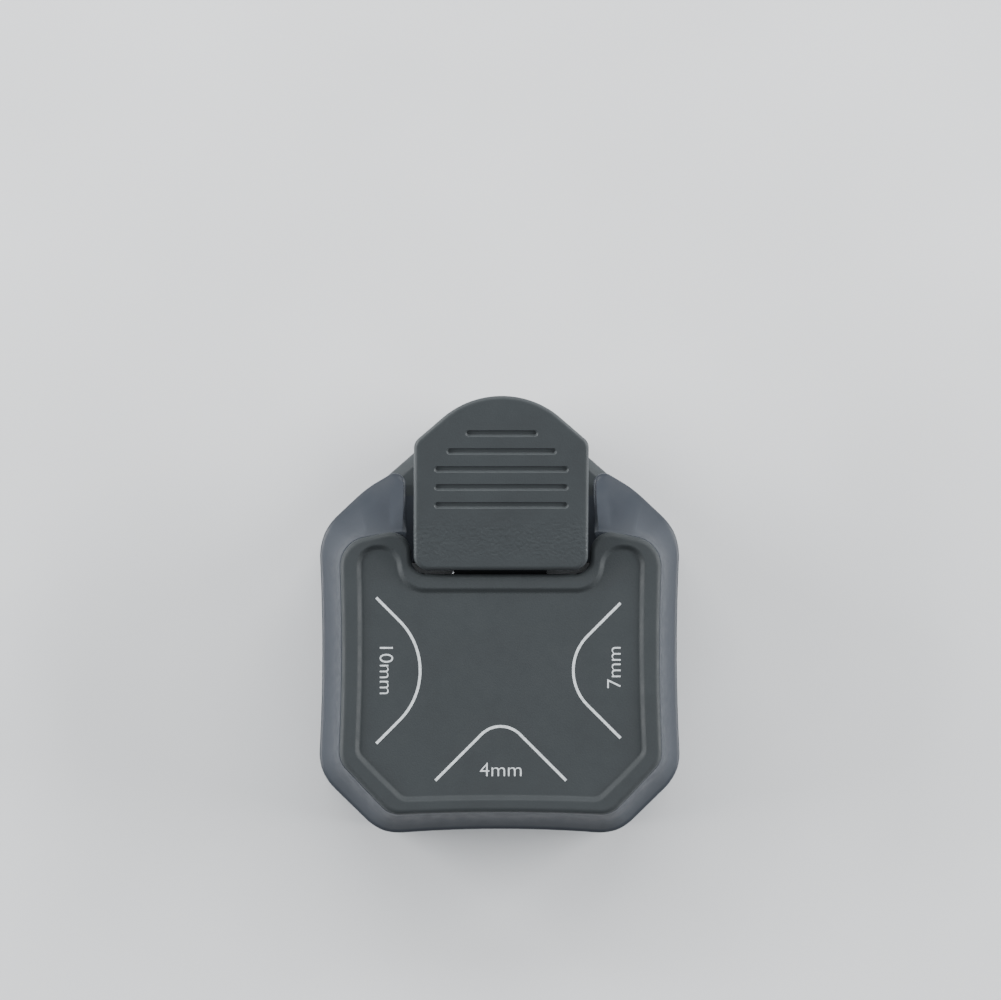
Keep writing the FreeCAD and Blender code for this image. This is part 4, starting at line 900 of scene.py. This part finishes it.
def on_points(tree, given, shape, taken):
    """Copy a shape onto every point, make the copies real and give them their finish."""
    spots = node(tree, "MeshToPoints", [("Mesh", given.outputs["Geometry"])])
    copies = node(tree, "InstanceOnPoints", [("Points", spots.outputs[0]), ("Instance", shape),
                                             ("Rotation", given.outputs["Turn"])])
    real = node(tree, "RealizeInstances", [("Geometry", copies.outputs[0])])
    finished = node(tree, "SetMaterial", [("Geometry", real.outputs[0]),
                                          ("Material", given.outputs["Finish"])])
    tree.links.new(finished.outputs[0], taken.inputs[0])


screw_tree, given, taken = new_tree("screws", ["Head Diameter", "Head Height", "Shank Diameter",
                                               "Shank Length", "Recess"], ["Turn"])
head = node(screw_tree, "MeshCylinder", [
    ("Vertices", 32), ("Radius", scaled(screw_tree, given.outputs["Head Diameter"], 0.5)),
    ("Depth", given.outputs["Head Height"])])
head_up = upright(screw_tree, head.outputs["Mesh"], scaled(screw_tree, given.outputs["Head Height"], 0.5))
cut = node(screw_tree, "MeshBoolean", [("Mesh 1", head_up)], operation="DIFFERENCE")
bar_width = scaled(screw_tree, given.outputs["Recess"], 0.26)
bar_lift = scaled(screw_tree, given.outputs["Head Height"], 1.05)
for along, across in ((0, 1), (1, 0)):
    measure = screw_tree.nodes.new("ShaderNodeCombineXYZ")
    screw_tree.links.new(given.outputs["Recess"], measure.inputs[along])
    screw_tree.links.new(bar_width, measure.inputs[across])
    screw_tree.links.new(given.outputs["Head Height"], measure.inputs[2])
    bar = node(screw_tree, "MeshCube", [("Size", measure.outputs[0])])
    screw_tree.links.new(upright(screw_tree, bar.outputs["Mesh"], bar_lift), cut.inputs["Mesh 2"])
shank = node(screw_tree, "MeshCylinder", [
    ("Vertices", 24), ("Radius", scaled(screw_tree, given.outputs["Shank Diameter"], 0.5)),
    ("Depth", given.outputs["Shank Length"])])
sunk = scaled(screw_tree, given.outputs["Shank Length"], -0.5, 0.05 * MM)
shank_down = upright(screw_tree, shank.outputs["Mesh"], sunk)
whole = node(screw_tree, "JoinGeometry")
screw_tree.links.new(cut.outputs["Mesh"], whole.inputs[0])
screw_tree.links.new(shank_down, whole.inputs[0])
on_points(screw_tree, given, whole.outputs[0], taken)
print("screw tree:", len(screw_tree.nodes), "nodes")


# %% A helper that runs a tree and keeps the plain mesh
def grown(name, tree, places, body, slot, finish, replaces, sharp=38.0, **sizes):
    """Run a tree on points given in millimetres, and keep its result as a plain mesh."""
    points = bpy.data.meshes.new(name)
    points.from_pydata([tuple(value * MM for value in place) for place in places], [], [])
    made = bpy.data.objects.new(name, points)
    bpy.context.scene.collection.objects.link(made)
    modifier = made.modifiers.new("grow", "NODES")
    modifier.node_group = tree
    sockets = {item.name: item.identifier for item in tree.interface.items_tree if item.in_out == "INPUT"}
    for key, value in sizes.items():
        modifier[sockets[key.replace("_", " ")]] = value
    modifier[sockets["Finish"]] = finish.material
    bpy.context.view_layer.update()
    mesh = bpy.data.meshes.new_from_object(made.evaluated_get(bpy.context.evaluated_depsgraph_get()))
    made.modifiers.clear()
    made.data = mesh
    mesh.name = name
    for polygon in mesh.polygons:
        polygon.use_smooth = True
    mesh.set_sharp_from_angle(angle=math.radians(sharp))
    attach(made, body)
    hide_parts(*replaces)
    print("%s: %d faces, %d places" % (name, len(mesh.polygons), len(places)))
    return made


# %% [markdown]
# ### Where the screws sit
# The housing screws come from below, so their heads are turned over. The punch screws sit flush
# in the carrier. The two pad screws follow the slope of the pad: a turn about X by that slope.

# %% Put in the screws
HALF_TURN = math.pi
grown("housing_screw_set", screw_tree, [(x, y, 1.8) for x, y in SCREW_PLACES], "base", "screw_steel",
      screw_steel, ["housing_screws"], Head_Diameter=3.8 * MM, Head_Height=1.35 * MM,
      Shank_Diameter=2.0 * MM, Shank_Length=15.0 * MM, Recess=2.3 * MM, Turn=(HALF_TURN, 0.0, 0.0))


SIDE_TIP, FRONT_TIP = 7.7, 6.6  # where the tips of uncut paper corners come to rest
ROOT, HOLE_SPACE = 1.2, 2.8     # a punch's back behind that tip, and the room for one screw


def punch_screw_places():
    """Two screws over each side punch and one over the small one, from the carrier's own holes."""
    rear = ROOT - HOLE_SPACE * 0.75
    places = []
    for radius, tip, way in ((10.0, -SIDE_TIP, -1.0), (7.0, SIDE_TIP, 1.0)):
        reach = radius / math.sqrt(2) - HOLE_SPACE * 0.4
        places += [(tip - way * rear, reach), (tip - way * rear, -reach)]
    return places + [(0.0, -FRONT_TIP + ROOT - HOLE_SPACE * 0.55)]


carrier_low = span("punch_carrier", 2)[0]
grown("punch_screw_set", screw_tree, [(x, y, carrier_low + 1.50) for x, y in punch_screw_places()],
      "carrier", "screw_steel", screw_steel, ["punch_screws"], Head_Diameter=2.75 * MM,
      Head_Height=0.72 * MM, Shank_Diameter=1.55 * MM, Shank_Length=3.6 * MM, Recess=1.6 * MM,
      Turn=(0.0, 0.0, 0.0))
pad_places = [on_pad(0.0, around, -STRAP_DEPTH - 1.2) for around in PAD_POSTS]
grown("pad_screw_set", screw_tree, pad_places, "lever", "screw_steel", screw_steel, ["pad_screws"],
      Head_Diameter=2.8 * MM, Head_Height=0.8 * MM, Shank_Diameter=1.6 * MM, Shank_Length=3.4 * MM,
      Recess=1.6 * MM, Turn=(PAD_SLOPE + HALF_TURN, 0.0, 0.0))

# %% [markdown]
# ### Rivets
# A rivet head is a low dome. The tree squashes a small sphere to the head's height and adds the
# straight shank below it.

# %% Put in the rivets
rivet_tree, given, taken = new_tree("rivets", ["Head Diameter", "Head Height", "Shank Diameter",
                                               "Shank Length"], ["Turn"])
ball = node(rivet_tree, "MeshUVSphere", [("Segments", 28), ("Rings", 16), ("Radius", 1.0)])
flatten = rivet_tree.nodes.new("ShaderNodeCombineXYZ")
head_radius = scaled(rivet_tree, given.outputs["Head Diameter"], 0.5)
for socket, source in zip(flatten.inputs, (head_radius, head_radius, given.outputs["Head Height"])):
    rivet_tree.links.new(source, socket)
dome = node(rivet_tree, "Transform", [("Geometry", ball.outputs["Mesh"]), ("Scale", flatten.outputs[0])])
stem = node(rivet_tree, "MeshCylinder", [
    ("Vertices", 24), ("Radius", scaled(rivet_tree, given.outputs["Shank Diameter"], 0.5)),
    ("Depth", given.outputs["Shank Length"])])
stem_down = upright(rivet_tree, stem.outputs["Mesh"], scaled(rivet_tree, given.outputs["Shank Length"], -0.5))
whole = node(rivet_tree, "JoinGeometry")
rivet_tree.links.new(dome.outputs[0], whole.inputs[0])
rivet_tree.links.new(stem_down, whole.inputs[0])
on_points(rivet_tree, given, whole.outputs[0], taken)

RIVET_PLACES = [(-12.5, -11.95), (12.5, -11.95), (-6.0, 13.4), (6.0, 13.4)]
rivet_low, rivet_high = span("die_rivets", 2)
grown("rivet_set", rivet_tree, [(x, y, FLOOR_Z) for x, y in RIVET_PLACES], "base", "pin_steel",
      pin_steel, ["die_rivets"], Head_Diameter=3.0 * MM, Head_Height=(rivet_high - FLOOR_Z) * MM,
      Shank_Diameter=1.8 * MM, Shank_Length=(FLOOR_Z - rivet_low) * MM, Turn=(0.0, 0.0, 0.0))

# %% [markdown]
# ## Return springs
# A spring is a wire along a spiral, so the tree draws the spiral and sweeps a small circle along
# it. The spring stands still with the base.

# %% Wind the springs
spring_tree, given, taken = new_tree("springs", ["Coil Diameter", "Wire", "Turns", "Height"], ["Turn"])
spiral = node(spring_tree, "CurveSpiral", [
    ("Resolution", 40), ("Rotations", given.outputs["Turns"]), ("Height", given.outputs["Height"]),
    ("Start Radius", scaled(spring_tree, given.outputs["Coil Diameter"], 0.5)),
    ("End Radius", scaled(spring_tree, given.outputs["Coil Diameter"], 0.5))])
wire = node(spring_tree, "CurvePrimitiveCircle", [
    ("Resolution", 12), ("Radius", scaled(spring_tree, given.outputs["Wire"], 0.5))])
swept = node(spring_tree, "CurveToMesh", [("Curve", spiral.outputs[0]), ("Profile Curve", wire.outputs[0]),
                                          ("Fill Caps", True)])
on_points(spring_tree, given, swept.outputs[0], taken)
for side in ("left", "right"):
    label = "return_spring_" + side
    (west, east), (front, back), (low, high) = (span(label, axis) for axis in range(3))
    coil = grown("coil_" + side, spring_tree, [((west + east) / 2, (front + back) / 2, low + 0.25)],
                 "base", "spring_steel", spring_steel, [label], Coil_Diameter=4.7 * MM, Wire=0.5 * MM,
                 Turns=4.5, Height=(high - low - 0.5) * MM, Turn=(0.0, 0.0, 0.0))
    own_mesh(coil)

# %% [markdown]
# ## Scrap door
# The door is a flat plate with rounded edges and a hinge barrel. Three ribs on its inner face keep
# it stiff. A barrel is a circle swept along its own axis, so it needs only four rings of points.

# %% Make the scrap door
door_low, door_high = 0.35, 1.75
hinge_y, hinge_z = 4.0, 1.5
door_rear = span("scrap_door", 1)[1]
bm = bmesh.new()
door_half = 13.5
door_line = trace([(door_half, hinge_y, 0.3), (door_half, door_rear, 1.0),
                   (-door_half, door_rear, 1.0), (-door_half, hinge_y, 0.3)])
rows = [ring(bm, inset(door_line, 0.35), door_low), ring(bm, inset(door_line, 0.25), door_low)]
rows += [ring(bm, inset(door_line, 0.07), door_low + 0.07), ring(bm, door_line, door_low + 0.25)]
rows += [ring(bm, door_line, door_high - 0.15), ring(bm, inset(door_line, 0.15), door_high)]
skin(bm, rows)
fill(bm, rows[0])
fill(bm, rows[-1])
for x in (-8.0, 0.0, 8.0):
    rib = trace([(x + 0.4, hinge_y + 3.0, 0.15), (x + 0.4, door_rear - 1.5, 0.15),
                 (x - 0.4, door_rear - 1.5, 0.15), (x - 0.4, hinge_y + 3.0, 0.15)], sides=2)
    rows = [ring(bm, rib, door_high - 0.05), ring(bm, rib, door_high + 0.55)]
    rows.append(ring(bm, inset(rib, 0.12), door_high + 0.7))
    skin(bm, rows)
    fill(bm, rows[0])
    fill(bm, rows[-1])
barrel = []
for x, radius in ((-door_half, 1.2), (0.15 - door_half, 1.35), (door_half - 0.15, 1.35), (door_half, 1.2)):
    outline = circle(hinge_y, hinge_z, 2 * radius, 40)
    barrel.append([bm.verts.new((x, y, z)) for y, z in outline])
skin(bm, barrel)
fill(bm, barrel[0])
fill(bm, barrel[-1])
piece(bm, "door_panel", "door", door_plastic, ["scrap_door"])

# %% [markdown]
# ## Measured pieces that stay
# The plates, the stops, the punches, the pins, the carrier and the lever are simple machined or
# moulded shapes, and the measured model already has them right. They keep their meshes and only
# get a finish.

# %% Dress the measured pieces
WEAR = {
    "die_plate": plate_steel, "stripper_plate": plate_steel, "front_left_stop": base_plastic,
    "front_right_stop": base_plastic, "rear_stop": base_plastic, "punch_10mm": punch_steel,
    "punch_7mm": punch_steel, "punch_4mm": punch_steel, "punch_carrier": carrier_plastic,
    "guide_pin_left": pin_steel, "guide_pin_right": pin_steel, "pivot_pin": pin_steel,
    "door_hinge_pin": pin_steel, "lever_arm": strap_steel,
}
for name, finish in WEAR.items():
    mesh = nodes[name].data
    mesh.materials.clear()
    mesh.materials.append(finish.material)
unseen = [name for name, each in nodes.items() if each.hide_render]
print("dressed:", len(WEAR), "- stood for by finer pieces:", len(unseen))
